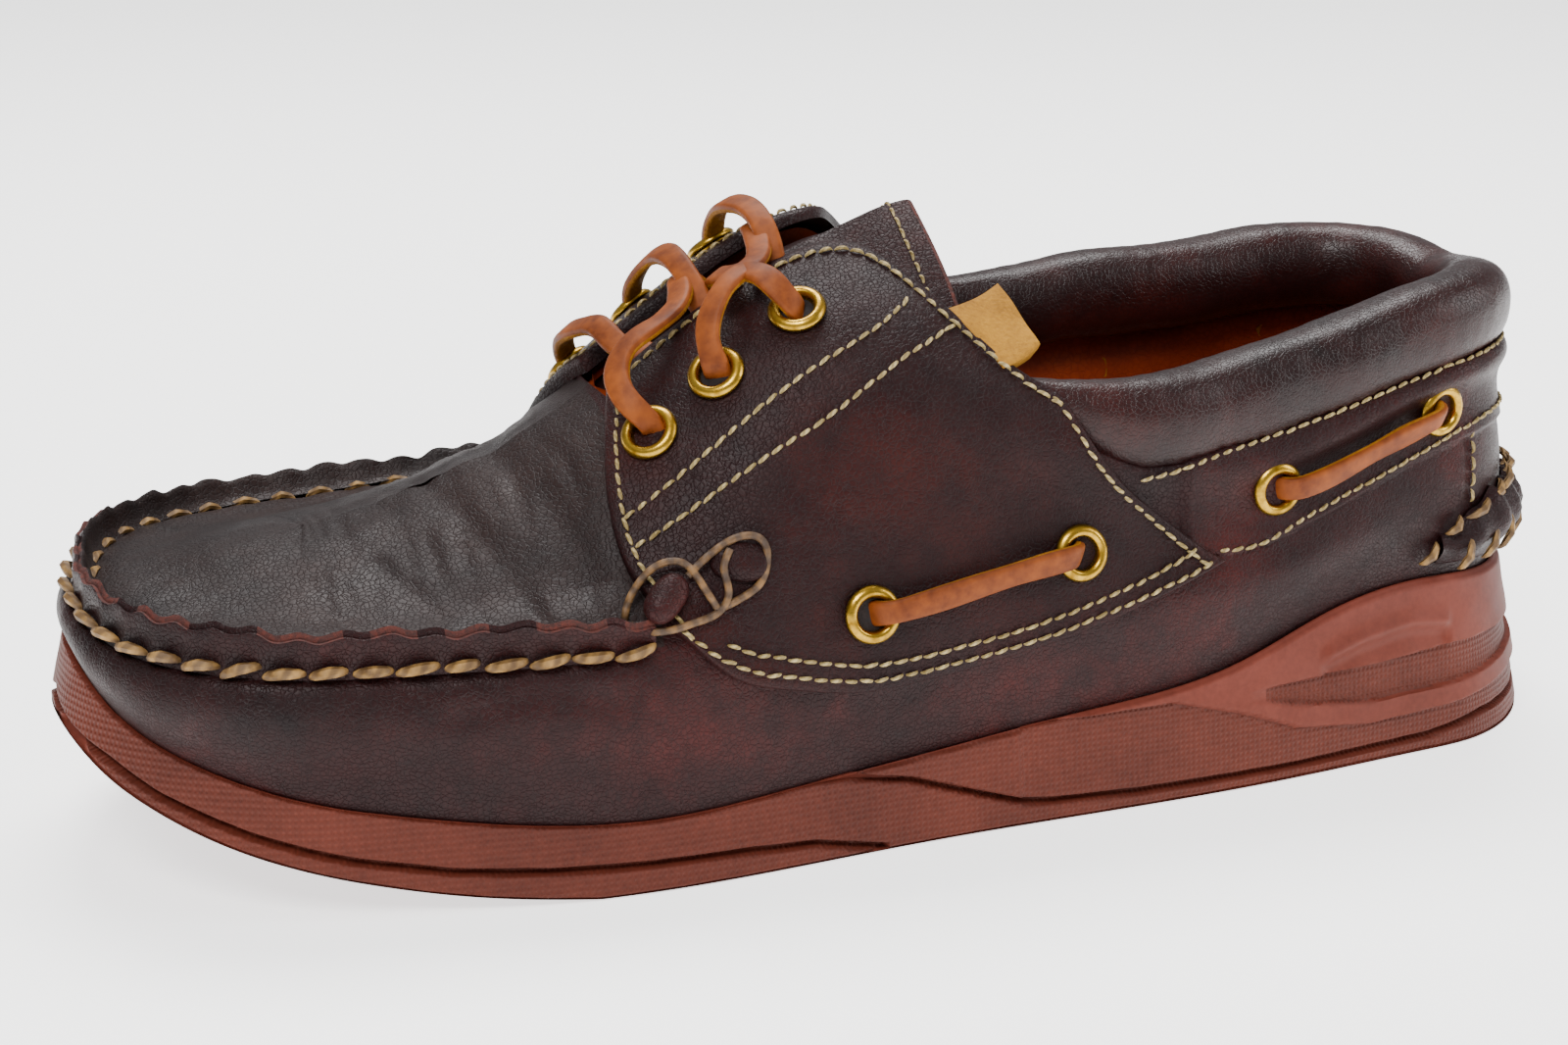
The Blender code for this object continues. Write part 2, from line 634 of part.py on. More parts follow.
def midsole(finish):
    """Rubber cup: floor, side wall with its moulded steps, and lip."""
    body = Body()

    def under(distance):
        return spring(distance) + OUTSOLE_THICK + GAP

    def out_at(along, side, height):
        low = spring(distance_from_heel(along, sole_radius(along, side)))
        lean = np.clip((height - low) / (sole_edge(along, side) - low), 0, 1)
        return sole_radius(along, side, lean)

    def low_radii(along, side):
        return tread_radii(along, side, GROOVE_DEPTH)

    body.grid(plate_rows(low_radii, under))

    def wall(along, side):
        bottom = low_radii(along, side)[-1]
        base = float(under(distance_from_heel(along, bottom)))
        top = float(sole_edge(along, side))
        room = top - base
        heights = [base, base + 0.08 * room]
        wanted = [straight(SOLE_SIDE, along, column) * SOLE_EDGE for column in (1, 2, 3)]
        floor = base + 0.10 * room
        for position, value in enumerate(wanted):
            low_bound = floor + 0.10 * room * (position + 1)
            high_bound = top - 0.10 * room * (3 - position)
            heights.append(float(np.clip(value, low_bound, high_bound)))
        step = 0.02 * room
        border, wedge_low, wedge_high = heights[2:]
        smooth = side_relief(along, 0)
        sunk = side_relief(along, 1)
        profile = [
            (bottom - out_at(along, side, base), base),
            (-PANEL_STEP, heights[1]),
            (-PANEL_STEP, border - step),
            (smooth - PANEL_STEP, border + step),
            (smooth - PANEL_STEP, wedge_low - step),
            (sunk - PANEL_STEP, wedge_low + step),
            (sunk - PANEL_STEP, wedge_high - step),
            (smooth - PANEL_STEP, wedge_high + step),
        ]
        points = [place(along, side, out_at(along, side, up) + out, up) for out, up in profile]
        edge = sole_radius(along, side, 1.0)
        points.append(place(along, side, edge, top - 0.02 * room))
        points.append(place(along, side, edge - CUP_LIP, top))
        inner = floor_radii(along, side)[-1]
        floor_up = bed(distance_from_heel(along, inner))
        points.append(place(along, side, inner, floor_up + WALL + FOOT_STEP + GAP))
        points.append(place(along, side, inner, floor_up))
        return points

    def floor_radii(along, side):
        inner = foot_radius(along, side) + GAP
        return [0.0, 0.6 * inner, inner - MARGIN, inner]

    body.grid(both_sides(wall))
    body.grid(plate_rows(floor_radii, bed))
    return make_object("midsole", body, finish["rubber"])


def insole(finish):
    body = Body()

    def radii(along, side, play):
        edge = foot_radius(along, side) - WALL - play
        return [0.0, 0.6 * edge, foot_radius(along, side) - MARGIN, edge]

    def low(distance):
        return bed(distance) + WALL + 5 * GAP

    def high(distance):
        return low(distance) + INSOLE_THICK

    bottom = plate_rows(lambda along, side: radii(along, side, INSOLE_PLAY), low)
    top = plate_rows(lambda along, side: radii(along, side, 2 * INSOLE_PLAY), high)
    body.grid(bottom)
    body.grid(top)
    body.grid([[b[-1], t[-1]] for b, t in zip(bottom, top)])
    return make_object("insole", body, finish["lining"])


def top_edge(along):
    return straight(TOP_EDGE, along)


def level_step(along, side, length):
    """Change of level that moves a length up the last at the seam."""
    low = last_surface(along, side, SEAM_LEVEL)
    high = last_surface(along, side, SEAM_LEVEL + 0.02)
    return length * 0.02 / np.linalg.norm(high - low)


def upper_levels(along, side):
    """Levels of the wall's rows, and how far each row stands off and up."""
    wide = level_step(along, side, RIDGE_WIDE)
    seam = SEAM_LEVEL
    edge = top_edge(along)
    has_ridge = float(along >= RIDGE_START)
    band = BAND_STEP * float(along < BAND_END)
    high = RIDGE_HIGH * has_ridge
    rows = [(0.0, 0.0, 0.0), (RIM_LEVEL, 0.0, 0.0), (0.175, 0.0, 0.0), (0.25, 0.0, 0.0),
            (0.335, 0.0, 0.0)]
    rows += [(seam, 0.0, 0.0), (seam + 0.2 * wide, high, has_ridge * RIDGE_LEAN),
             (seam + 0.7 * wide, high + band * (1 - has_ridge), has_ridge * RIDGE_LEAN),
             (seam + wide, band * (1 - has_ridge), 0.0)]
    start = seam + wide
    for share in (0.25, 0.5, 0.75, 1.0):
        rows.append((start + (edge - start) * share, band * (1 - share) * (1 - has_ridge), 0.0))
    return rows


def upper(finish):
    """One hollow wall from the margin under the insole to the collar and throat."""
    body = Body()

    def columns(along, side):
        foot = foot_radius(along, side)
        floor = bed(distance_from_heel(along, foot - MARGIN)) + GAP
        corner = bed(distance_from_heel(along, foot - WALL / 2)) + GAP
        outer = [place(along, side, foot - MARGIN, floor),
                 place(along, side, foot - WALL / 2, corner)]
        inner = [place(along, side, foot - MARGIN, floor + WALL),
                 place(along, side, foot - WALL * 1.15, corner + WALL)]
        rows = upper_levels(along, side)
        for number, (level, off, lean) in enumerate(rows):
            normal = last_normal(along, side, level)
            base = last_surface(along, side, level)
            outer.append(base + normal * off + np.array((0, 0, lean)))
            if number == 0:
                inner.append(place(along, side, foot - WALL, base[2]))
            elif number not in INSIDE_SKIPS:
                inner.append(base - normal * WALL)
        return outer, inner

    pairs = both_sides(columns)
    outer = [pair[0] for pair in pairs]
    inner = [pair[1] for pair in pairs]
    body.grid(outer)
    body.grid(inner)
    body.grid([[o[0], i[0]] for o, i in zip(outer, inner)])

    def cap(along, side):
        edge = top_edge(along)
        levels = edge + (1 - edge) * np.array((0.0, 0.5, 1.0))
        high = [last_surface(along, side, level) for level in levels]
        low = [last_surface(along, side, level) - last_normal(along, side, level) * WALL
               for level in levels]
        low[-1] = last_surface(along, side, 1.0) - np.array((0, 0, WALL))
        return high, low

    front = [along for along in ALONG if along >= THROAT_FRONT - 1e-6]
    back = [along for along in ALONG if along <= THROAT_FRONT + 1e-6]
    loop = [(along, LATERAL) for along in front] + [(along, MEDIAL) for along in front[-2::-1]]
    caps = [cap(along, side) for along, side in loop]
    body.grid([high for high, low in caps])
    body.grid([low for high, low in caps])
    for high, low in (caps[0], caps[-1]):
        body.grid([high, low])
    for side in (LATERAL, MEDIAL):
        ends = [columns(along, side) for along in back]
        body.grid([[o[-1], i[-1]] for o, i in ends])
    shape = make_object("upper", body, finish["leather"])
    for side, word in SIDES:
        for row in EYELETS:
            cut(shape, eyelet_cutter(row, side, word, "upper"))
    clean(shape)
    return shape


def eyelet_frame(row, side):
    """Matrix whose Z axis leaves the leather at an eyelet."""
    lift = PANEL_THICK + PANEL_SEAT if row.on_panel else BAND_STEP
    centre = on_last(row.along, side, row.level, np.array(lift))
    normal = Vector(last_normal(row.along, side, row.level))
    turn = normal.to_track_quat("Z", "Y").to_matrix().to_4x4()
    return Matrix.Translation(Vector(centre)) @ turn @ Matrix.Rotation(EYELET_TURN, 4, "Z")


def eyelet_cutter(row, side, word, target):
    deep = 0.016
    mesh = bpy.data.meshes.new("hole")
    work = bmesh.new()
    bmesh.ops.create_cone(work, cap_ends=True, segments=ROUND_SIDES,
                          radius1=EYELET_BARREL + GAP, radius2=EYELET_BARREL + GAP, depth=deep)
    work.to_mesh(mesh)
    work.free()
    hole = bpy.data.objects.new(f"hole_{target}_{word}_{row.name}", mesh)
    hole.matrix_world = eyelet_frame(row, side)
    bpy.context.collection.objects.link(hole)
    return as_cutter(hole)


def eyelets(finish):
    """Turned brass rings, their barrels through panel and upper."""
    for side, word in SIDES:
        for row in EYELETS:
            depth = (PANEL_THICK + PANEL_SEAT if row.on_panel else BAND_STEP) + WALL
            seat = EYELET_SEAT if row.on_panel else EYELET_SEAT_BAND
            profile = [(EYELET_HOLE, -depth), (EYELET_HOLE, seat + EYELET_DOME),
                       ((EYELET_HOLE + EYELET_FLANGE) / 2, seat + EYELET_RISE),
                       (EYELET_FLANGE, seat), (EYELET_BARREL, seat), (EYELET_BARREL, -depth)]
            body = Body()
            rows = []
            for step in range(ROUND_SIDES + 1):
                turn = 2 * math.pi * (step % ROUND_SIDES) / ROUND_SIDES
                rows.append([(radius * math.cos(turn), radius * math.sin(turn), up)
                             for radius, up in profile + profile[:1]])
            body.grid(rows)
            ring = make_object(f"eyelet_{word}_{row.name}", body, finish["brass"])
            ring.matrix_world = eyelet_frame(row, side)


def sheet(points_high, points_low):
    """Closed body between two grids of the same size."""
    body = Body()
    body.grid(points_high)
    body.grid(points_low)
    edges = [(points_high[0], points_low[0]), (points_high[-1], points_low[-1]),
             ([row[0] for row in points_high], [row[0] for row in points_low]),
             ([row[-1] for row in points_high], [row[-1] for row in points_low])]
    for high, low in edges:
        body.grid([high, low])
    return body


def stay_point(across, up):
    """Station and level inside the panel: across 0 front, 1 rear; up 0 foot, 1 head."""
    places = np.linspace(0, 1, len(STAY))
    value = spline_weights(places, across) @ np.array(STAY)
    along = value[0] + (value[2] - value[0]) * up
    level = value[1] + (value[3] - value[1]) * up
    bow = STAY_BOW * math.sin(math.pi * up) * max(0.0, 1 - 4 * across)
    return along + bow, level


def eyestay(side, word, finish):
    """Panel that carries the throat eyelets and runs back over the quarter."""
    high = []
    low = []
    for across in np.linspace(0, 1, 13):
        where = [stay_point(across, up) for up in np.linspace(0, 1, 8)]
        high.append([on_last(along, side, level, np.array(PANEL_SEAT + PANEL_THICK))
                     for along, level in where])
        low.append([on_last(along, side, level, np.array(PANEL_SEAT)) for along, level in where])
    shape = make_object(f"eyestay_{word}", sheet(high, low), finish["leather"])
    for row in EYELETS:
        if row.on_panel:
            cut(shape, eyelet_cutter(row, side, word, "panel"))
    return shape


def tongue(finish):
    """Leather tongue under the throat, its free end standing up at the ankle."""
    front = 0.625
    rear = 0.452
    rows_high = []
    rows_low = []
    for share in np.linspace(0, 1, 10):
        high = []
        low = []
        for step in range(9):
            across = abs(step - 4) / 4
            side = LATERAL if step < 4 else MEDIAL
            end = rear + 0.018 * (1 - across ** 2)
            along = front + (end - front) * share
            level = 1 - (0.19 - 0.03 * share) * across
            begin = 0.72 + 0.22 * across
            lift = TONGUE_LIFT * (1 - across ** 2)
            lift *= max(0.0, (share - begin) / (1 - begin)) ** 1.4
            sunk = WALL + TONGUE_SEAT
            if across == 0:
                top = last_surface(along, side, 1.0) + np.array((0, 0, lift - sunk))
                bottom = top - np.array((0, 0, TONGUE_THICK))
            else:
                top = on_last(along, side, level, np.array(lift - sunk))
                bottom = on_last(along, side, level, np.array(lift - sunk - TONGUE_THICK))
            high.append(top)
            low.append(bottom)
        rows_high.append(high)
        rows_low.append(low)
    return make_object("tongue", sheet(rows_high, rows_low), finish["leather"])


def collar(finish):
    """Padded roll that sits on the wall's edge, open at the front."""
    body = Body()
    end = 0.355
    half = [along for along in ALONG if along < end] + [end]
    loop = [(along, LATERAL) for along in half[::-1]] + [(along, MEDIAL) for along in half[1:]]
    sections = []
    for along, side in loop:
        out, up = rings(along, side)
        weight = spline_weights(LEVELS, top_edge(along))
        radius = float((weight * out).sum()) - ROLL_IN
        height = float((weight * up).sum()) + ROLL_UP
        ease = min(1.0, (end - along) / 0.03 + 0.62)
        section = []
        for step in range(ROLL_SIDES):
            turn = 2 * math.pi * step / ROLL_SIDES
            section.append(place(along, side, radius + ROLL_RADIUS * ease * math.cos(turn),
                                 height + ROLL_RADIUS * math.sin(turn)))
        sections.append(section + section[:1])
    body.grid(sections)
    for section in (sections[0], sections[-1]):
        body.face(*section[:-1])
    return make_object("collar_roll", body, finish["leather"])


def kicker(finish):
    """Hand-sewn flap round the heel, its crest standing out."""
    table = np.array(KICKER)
    half = [along for along in ALONG if along < KICKER[-1].along] + [KICKER[-1].along]
    loop = [(along, LATERAL) for along in half[::-1]] + [(along, MEDIAL) for along in half[1:]]
    high = []
    low = []
    for along, side in loop:
        levels = [np.interp(along, table[:, 0], table[:, column]) for column in (1, 2, 3)]
        levels.insert(2, (levels[1] + levels[2]) / 2)
        fade = min(1.0, (KICKER[-1].along - along) / 0.03 + 0.35)
        offs = [KICKER_THICK, KICKER_HIGH * fade, KICKER_HIGH * 0.75 * fade, KICKER_THICK]
        high.append([on_last(along, side, level, np.array(PANEL_SEAT + max(off, KICKER_THICK)))
                     for level, off in zip(levels, offs)])
        low.append([on_last(along, side, level, np.array(PANEL_SEAT)) for level in levels])
    return make_object("heel_kicker", sheet(high, low), finish["leather"])


def seam_knot(side, word, finish):
    """Leather bead that locks the end of the moccasin seam."""
    high = []
    low = []
    for along in (0.646, 0.637, 0.627, 0.617):
        bulge = 1 - abs(along - 0.6315) / 0.022
        lift = PANEL_THICK + PANEL_SEAT + GAP
        levels = (0.452, 0.478, 0.505, 0.530)
        high.append([on_last(along, side, level,
                             np.array(lift + 0.0034 * bulge * (0.55 + 0.45 * (0.46 < level < 0.52))))
                     for level in levels])
        low.append([on_last(along, side, level, np.array(lift)) for level in levels])
    return make_object(f"seam_knot_{word}", sheet(high, low), finish["leather"])


def tab(finish):
    """Undyed leather tab behind the outer eyestay's rear edge."""
    corners = ((0.462, 0.842), (0.448, 0.800), (0.420, 0.835), (0.436, 0.905))
    high = []
    low = []
    for share in (0.0, 0.5, 1.0):
        top = []
        bottom = []
        for across in (0.0, 0.5, 1.0):
            first = np.array(corners[0]) * (1 - across) + np.array(corners[1]) * across
            last = np.array(corners[3]) * (1 - across) + np.array(corners[2]) * across
            along, level = first * (1 - share) + last * share
            lift = TAB_LIFT * share - GAP
            top.append(on_last(along, LATERAL, level, np.array(lift)))
            bottom.append(on_last(along, LATERAL, level, np.array(lift - TAB_THICK)))
        high.append(top)
        low.append(bottom)
    return make_object("side_tab", sheet(high, low), finish["tab"])


def strap(name, route, finish):
    """Flat lace along points of the last, each with its own height."""
    centres = []
    normals = []
    for along, side, level, height in route:
        centres.append(on_last(along, side, level, np.array(height)))
        normals.append(last_normal(along, side, level))
    rows = []
    for number, (centre, normal) in enumerate(zip(centres, normals)):
        before = centres[max(number - 1, 0)]
        after = centres[min(number + 1, len(centres) - 1)]
        way = (after - before) / np.linalg.norm(after - before)
        across = np.cross(normal, way)
        across = across / np.linalg.norm(across) * LACE_WIDE / 2
        thick = normal * LACE_THICK / 2
        rows.append([centre - across - thick, centre + across - thick,
                     centre + across + thick, centre - across + thick, centre - across - thick])
    body = Body()
    body.grid(rows)
    for section in (rows[0], rows[-1]):
        body.face(*section[:-1])
    return make_object(name, body, finish["lace"])


def lace_height():
    return PANEL_THICK + PANEL_SEAT + EYELET_SEAT + EYELET_RISE + LACE_THICK / 2 + 2 * GAP


def crossing(name, start, start_side, end, finish):
    """Lace from one throat eyelet across to the next one on the other side."""
    route = []
    height = lace_height()
    for share in np.linspace(0, 1, 9):
        along = start.along + (end.along - start.along) * share
        first_half = share < 0.5
        side = start_side if first_half else -start_side
        rim = start.level if first_half else end.level
        level = rim + (1 - rim) * (1 - abs(2 * share - 1))
        route.append((along, side, min(level, 0.985), height))
    return strap(name, route, finish)


def laces(finish):
    """Front lacing as one joined piece, and the side lace where it shows."""
    throat = EYELETS[:3]
    front = None
    for number in (0, 1):
        for side, word in SIDES:
            name = "lace_front" if front is None else f"lace_join_{number}_{word}"
            piece = crossing(name, throat[number], side, throat[number + 1], finish)
            if front is None:
                front = piece
            else:
                cut(front, as_cutter(piece), "UNION")
    for side, word in SIDES:
        for first, second in ((3, 4), (5, 6)):
            start = EYELETS[first]
            end = EYELETS[second]
            height = lace_height()
            if not start.on_panel:
                height += BAND_STEP + EYELET_SEAT_BAND - PANEL_THICK - PANEL_SEAT - EYELET_SEAT
            route = []
            for share in np.linspace(0, 1, 7):
                route.append((start.along + (end.along - start.along) * share, side,
                              start.level + (end.level - start.level) * share, height))
            strap(f"lace_{word}_{start.name}", route, finish)


def build():
    for shape in list(bpy.data.objects):
        bpy.data.objects.remove(shape, do_unlink=True)
    finish = colours()
    outsole(finish)
    midsole(finish)
    insole(finish)
    upper(finish)
    for side, word in SIDES:
        eyestay(side, word, finish)
        seam_knot(side, word, finish)
    tongue(finish)
    collar(finish)
    kicker(finish)
    tab(finish)
    eyelets(finish)
    laces(finish)


build()
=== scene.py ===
# %% [markdown]
# # A left boat shoe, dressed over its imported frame
# The solids give the sizes.  Every leather piece is redrawn here on the same
# surface of the last, only finer, with its thickness, stitches and wear.

# %% Load the frame
import math
from collections import namedtuple

import bpy
import numpy as np
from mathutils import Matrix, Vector


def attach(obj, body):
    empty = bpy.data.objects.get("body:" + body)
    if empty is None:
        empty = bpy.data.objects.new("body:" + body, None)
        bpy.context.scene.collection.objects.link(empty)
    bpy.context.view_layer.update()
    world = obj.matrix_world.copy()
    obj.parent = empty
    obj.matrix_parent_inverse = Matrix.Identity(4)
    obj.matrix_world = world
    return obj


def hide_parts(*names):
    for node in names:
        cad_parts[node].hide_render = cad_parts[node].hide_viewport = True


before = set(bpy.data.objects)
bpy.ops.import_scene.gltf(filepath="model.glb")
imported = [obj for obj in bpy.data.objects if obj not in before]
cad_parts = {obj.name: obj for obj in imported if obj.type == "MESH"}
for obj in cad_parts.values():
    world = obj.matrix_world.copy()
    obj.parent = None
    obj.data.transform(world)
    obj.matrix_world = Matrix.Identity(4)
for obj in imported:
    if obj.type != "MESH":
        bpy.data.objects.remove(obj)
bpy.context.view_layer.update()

MM = 0.001

# %% [markdown]
# ## The last
# A shoe is built over a last.  Its surface is written once, as stations round
# the foot ("along", from the heel's back to the toe's tip) and levels up the
# wall.  Every piece then asks the same surface for its place, which is how the
# solids were made too.

# %% Sizes of the last
LENGTH = 0.300
BALL_WIDTH = 0.101
HEEL_TURN = 0.040
TOE_TURN = 0.046
TURN_BLEND = 0.024
INSTEP_HEIGHT = 0.100
TOE_SPRING = 0.028
HEEL_BEVEL = 0.0025
HEEL_BEVEL_RUN = 0.016
SOLE_EDGE = 0.036
SOLE_LEAN = 0.0072
HEEL_RISE = 0.0195
BALL_RISE = 0.0070
RISE_START = 0.24
RISE_END = 0.68
CUP_WALL = 0.0030
CUP_LIP = 0.0016
PANEL_STEP = 0.0010
WALL = 0.0020
PANEL_THICK = 0.0017
PANEL_SEAT = 0.0010
THROAT_FRONT = 0.640
RIDGE_START = 0.655
LATERAL = -1
MEDIAL = 1

Sole = namedtuple("Sole", "along lateral medial lean edge_lateral edge_medial")
SOLE = [
    Sole(0.000, 0.376, 0.376, 1.00, 0.890, 0.890),
    Sole(0.070, 0.376, 0.376, 0.97, 0.900, 0.900),
    Sole(0.140, 0.391, 0.381, 0.80, 0.930, 0.930),
    Sole(0.200, 0.410, 0.377, 0.64, 0.955, 0.955),
    Sole(0.265, 0.435, 0.363, 0.49, 0.855, 0.855),
    Sole(0.315, 0.449, 0.354, 0.39, 0.690, 0.690),
    Sole(0.415, 0.459, 0.351, 0.35, 0.545, 0.545),
    Sole(0.500, 0.470, 0.381, 0.35, 0.455, 0.455),
    Sole(0.573, 0.495, 0.426, 0.35, 0.395, 0.395),
    Sole(0.645, 0.517, 0.465, 0.35, 0.345, 0.345),
    Sole(0.716, 0.515, 0.483, 0.35, 0.390, 0.390),
    Sole(0.788, 0.487, 0.480, 0.36, 0.505, 0.505),
    Sole(0.860, 0.458, 0.468, 0.38, 0.667, 0.710),
    Sole(0.930, 0.459, 0.463, 0.40, 0.875, 1.030),
    Sole(1.000, 0.465, 0.465, 0.42, 1.110, 1.110),
]
Ring = namedtuple("Ring", "bulge_out bulge_up seam_out seam_up flank_out flank_up "
                          "edge_out edge_up top_up")
LAST_LATERAL = [
    Ring(0.285, 0.460, 0.273, 0.580, 0.253, 0.700, 0.225, 0.775, 0.860),
    Ring(0.292, 0.460, 0.283, 0.590, 0.265, 0.710, 0.243, 0.788, 0.870),
    Ring(0.332, 0.460, 0.322, 0.600, 0.307, 0.720, 0.292, 0.790, 0.880),
    Ring(0.371, 0.460, 0.361, 0.570, 0.347, 0.695, 0.330, 0.765, 0.880),
    Ring(0.411, 0.420, 0.401, 0.500, 0.381, 0.620, 0.350, 0.720, 0.890),
    Ring(0.431, 0.370, 0.421, 0.460, 0.394, 0.580, 0.354, 0.700, 0.930),
    Ring(0.441, 0.330, 0.431, 0.450, 0.401, 0.620, 0.342, 0.785, 1.030),
    Ring(0.450, 0.300, 0.446, 0.440, 0.391, 0.700, 0.287, 0.910, 1.040),
    Ring(0.470, 0.280, 0.455, 0.435, 0.391, 0.660, 0.243, 0.877, 0.960),
    Ring(0.490, 0.270, 0.463, 0.435, 0.366, 0.560, 0.198, 0.725, 0.775),
    Ring(0.495, 0.280, 0.458, 0.435, 0.342, 0.503, 0.178, 0.600, 0.645),
    Ring(0.473, 0.300, 0.438, 0.437, 0.302, 0.488, 0.149, 0.547, 0.567),
    Ring(0.448, 0.340, 0.414, 0.442, 0.272, 0.492, 0.129, 0.543, 0.560),
    Ring(0.439, 0.380, 0.402, 0.453, 0.252, 0.505, 0.129, 0.546, 0.560),
    Ring(0.429, 0.435, 0.398, 0.480, 0.248, 0.520, 0.129, 0.550, 0.560),
]
LAST_MEDIAL = [
    Ring(0.285, 0.460, 0.273, 0.580, 0.253, 0.700, 0.225, 0.775, 0.860),
    Ring(0.292, 0.460, 0.283, 0.590, 0.265, 0.710, 0.243, 0.788, 0.870),
    Ring(0.327, 0.460, 0.317, 0.600, 0.305, 0.720, 0.287, 0.785, 0.880),
    Ring(0.347, 0.460, 0.342, 0.580, 0.332, 0.705, 0.317, 0.775, 0.890),
    Ring(0.350, 0.430, 0.342, 0.540, 0.332, 0.670, 0.320, 0.760, 0.910),
    Ring(0.347, 0.390, 0.342, 0.510, 0.332, 0.650, 0.317, 0.770, 0.950),
    Ring(0.350, 0.360, 0.347, 0.510, 0.337, 0.670, 0.307, 0.840, 1.060),
    Ring(0.381, 0.330, 0.376, 0.510, 0.356, 0.720, 0.267, 0.965, 1.110),
    Ring(0.421, 0.310, 0.401, 0.510, 0.356, 0.680, 0.228, 0.895, 0.975),
    Ring(0.453, 0.300, 0.421, 0.500, 0.347, 0.575, 0.193, 0.725, 0.775),
    Ring(0.463, 0.300, 0.426, 0.487, 0.322, 0.520, 0.173, 0.605, 0.645),
    Ring(0.455, 0.315, 0.422, 0.473, 0.292, 0.510, 0.149, 0.550, 0.567),
    Ring(0.446, 0.360, 0.409, 0.480, 0.267, 0.513, 0.129, 0.547, 0.560),
    Ring(0.439, 0.420, 0.402, 0.492, 0.252, 0.520, 0.129, 0.550, 0.560),
    Ring(0.429, 0.435, 0.398, 0.480, 0.248, 0.520, 0.129, 0.550, 0.560),
]
LEVELS = (0.00, 0.10, 0.25, 0.42, 0.62, 0.82, 1.00)
SEAM_LEVEL = LEVELS[3]
SPINE = [(0.0, 0.0), (0.2, 0.0), (0.4, -0.005), (0.583, 0.0), (0.717, 0.015),
         (0.847, 0.040), (1.0, 0.040)]
SPRING = [(0.717, 0.0), (0.743, 0.03), (0.80, 0.114), (0.84, 0.207), (0.88, 0.325),
          (0.92, 0.464), (0.96, 0.66), (0.983, 0.82), (1.0, 1.0)]
TOP_EDGE = [(0.0, 0.808), (0.15, 0.808), (0.33, 0.805), (0.40, 0.790), (0.44, 0.780),
            (0.47, 0.808), (0.49, 0.862), (0.515, 0.912), (0.54, 0.925), (0.573, 0.920),
            (0.64, 0.905), (1.0, 0.905)]
Stay = namedtuple("Stay", "foot_along foot_level head_along head_level")
STAY = [
    Stay(0.640, 0.455, 0.636, 0.930),
    Stay(0.613, 0.350, 0.605, 0.942),
    Stay(0.582, 0.311, 0.573, 0.947),
    Stay(0.539, 0.277, 0.539, 0.953),
    Stay(0.493, 0.277, 0.510, 0.948),
    Stay(0.447, 0.285, 0.490, 0.900),
    Stay(0.407, 0.312, 0.470, 0.850),
    Stay(0.367, 0.365, 0.447, 0.812),
    Stay(0.332, 0.430, 0.427, 0.800),
]
STAY_BOW = 0.018
Eyelet = namedtuple("Eyelet", "name along level on_panel")
EYELETS = [
    Eyelet("throat_1", 0.628, 0.784, True),
    Eyelet("throat_2", 0.593, 0.809, True),
    Eyelet("throat_3", 0.550, 0.848, True),
    Eyelet("side_1", 0.538, 0.434, True),
    Eyelet("side_2", 0.420, 0.490, True),
    Eyelet("side_3", 0.298, 0.600, False),
    Eyelet("side_4", 0.188, 0.573, False),
]
SIDES = ((LATERAL, "lateral"), (MEDIAL, "medial"))
SPAN = HEEL_TURN * math.pi / 2 + (LENGTH - HEEL_TURN - TOE_TURN) + TOE_TURN * math.pi / 2


# %% Surface of the last
def spline_weights(knots, where, closed=False):
    knots = np.asarray(knots, float)
    where = np.asarray(where, float)
    step = np.diff(knots)
    count = len(step) if closed else len(knots)
    bend = np.zeros((count, count))
    pull = np.zeros((count, count))
    for i in range(count):
        if not closed and i in (0, count - 1):
            bend[i, i] = 1.0
            continue
        before = step[(i - 1) % len(step)]
        after = step[i % len(step)]
        bend[i, (i - 1) % count] += before
        bend[i, i] += 2 * (before + after)
        bend[i, (i + 1) % count] += after
        pull[i, (i - 1) % count] += 6 / before
        pull[i, i] -= 6 / before + 6 / after
        pull[i, (i + 1) % count] += 6 / after
    second = np.linalg.solve(bend, pull)
    if closed:
        where = knots[0] + np.mod(where - knots[0], knots[-1] - knots[0])
    where = np.clip(where, knots[0], knots[-1])
    k = np.clip(np.searchsorted(knots, where, side="right") - 1, 0, len(step) - 1)
    right = ((where - knots[k]) / step[k])[..., None]
    left = 1 - right
    size = (step[k] ** 2 / 6)[..., None]
    unit = np.eye(count)
    after = (k + 1) % count
    return (left * unit[k] + right * unit[after]
            + (left ** 3 - left) * size * second[k] + (right ** 3 - right) * size * second[after])


def curve(rows, where):
    table = np.array(rows, float)
    return spline_weights(table[:, 0], where) @ table[:, 1]


def straight(rows, where):
    table = np.array(rows, float)
    return np.interp(where, table[:, 0], table[:, 1])


def round_outline(along, side, lateral, medial):
    knots = [row.along for row in SOLE]
    knots = np.array(knots + [2 - value for value in knots[-2::-1]])
    table = np.concatenate([np.asarray(lateral, float), np.asarray(medial, float)[-2:0:-1]])
    return spline_weights(knots, np.where(side < 0, along, 2 - along), True) @ table


def stations(along):
    def ramp(distance, bound):
        low = bound - TURN_BLEND / 2
        t = np.clip((distance - low) / TURN_BLEND, 0, 1)
        eased = low + TURN_BLEND * (t / 2 + np.sin(np.pi * t) / (2 * np.pi))
        return np.where(distance < low, distance, eased)

    walk = np.asarray(along, float) * SPAN
    heel = ramp(walk, HEEL_TURN * np.pi / 2)
    toe = ramp(SPAN - walk, TOE_TURN * np.pi / 2)
    spine = HEEL_TURN + (walk - heel) - (TOE_TURN * np.pi / 2 - toe)
    return spine, heel / HEEL_TURN + (np.pi / 2 - toe / TOE_TURN)


def distance_from_heel(along, radius):
    spine, turn = stations(along)
    return spine - radius * np.cos(turn)


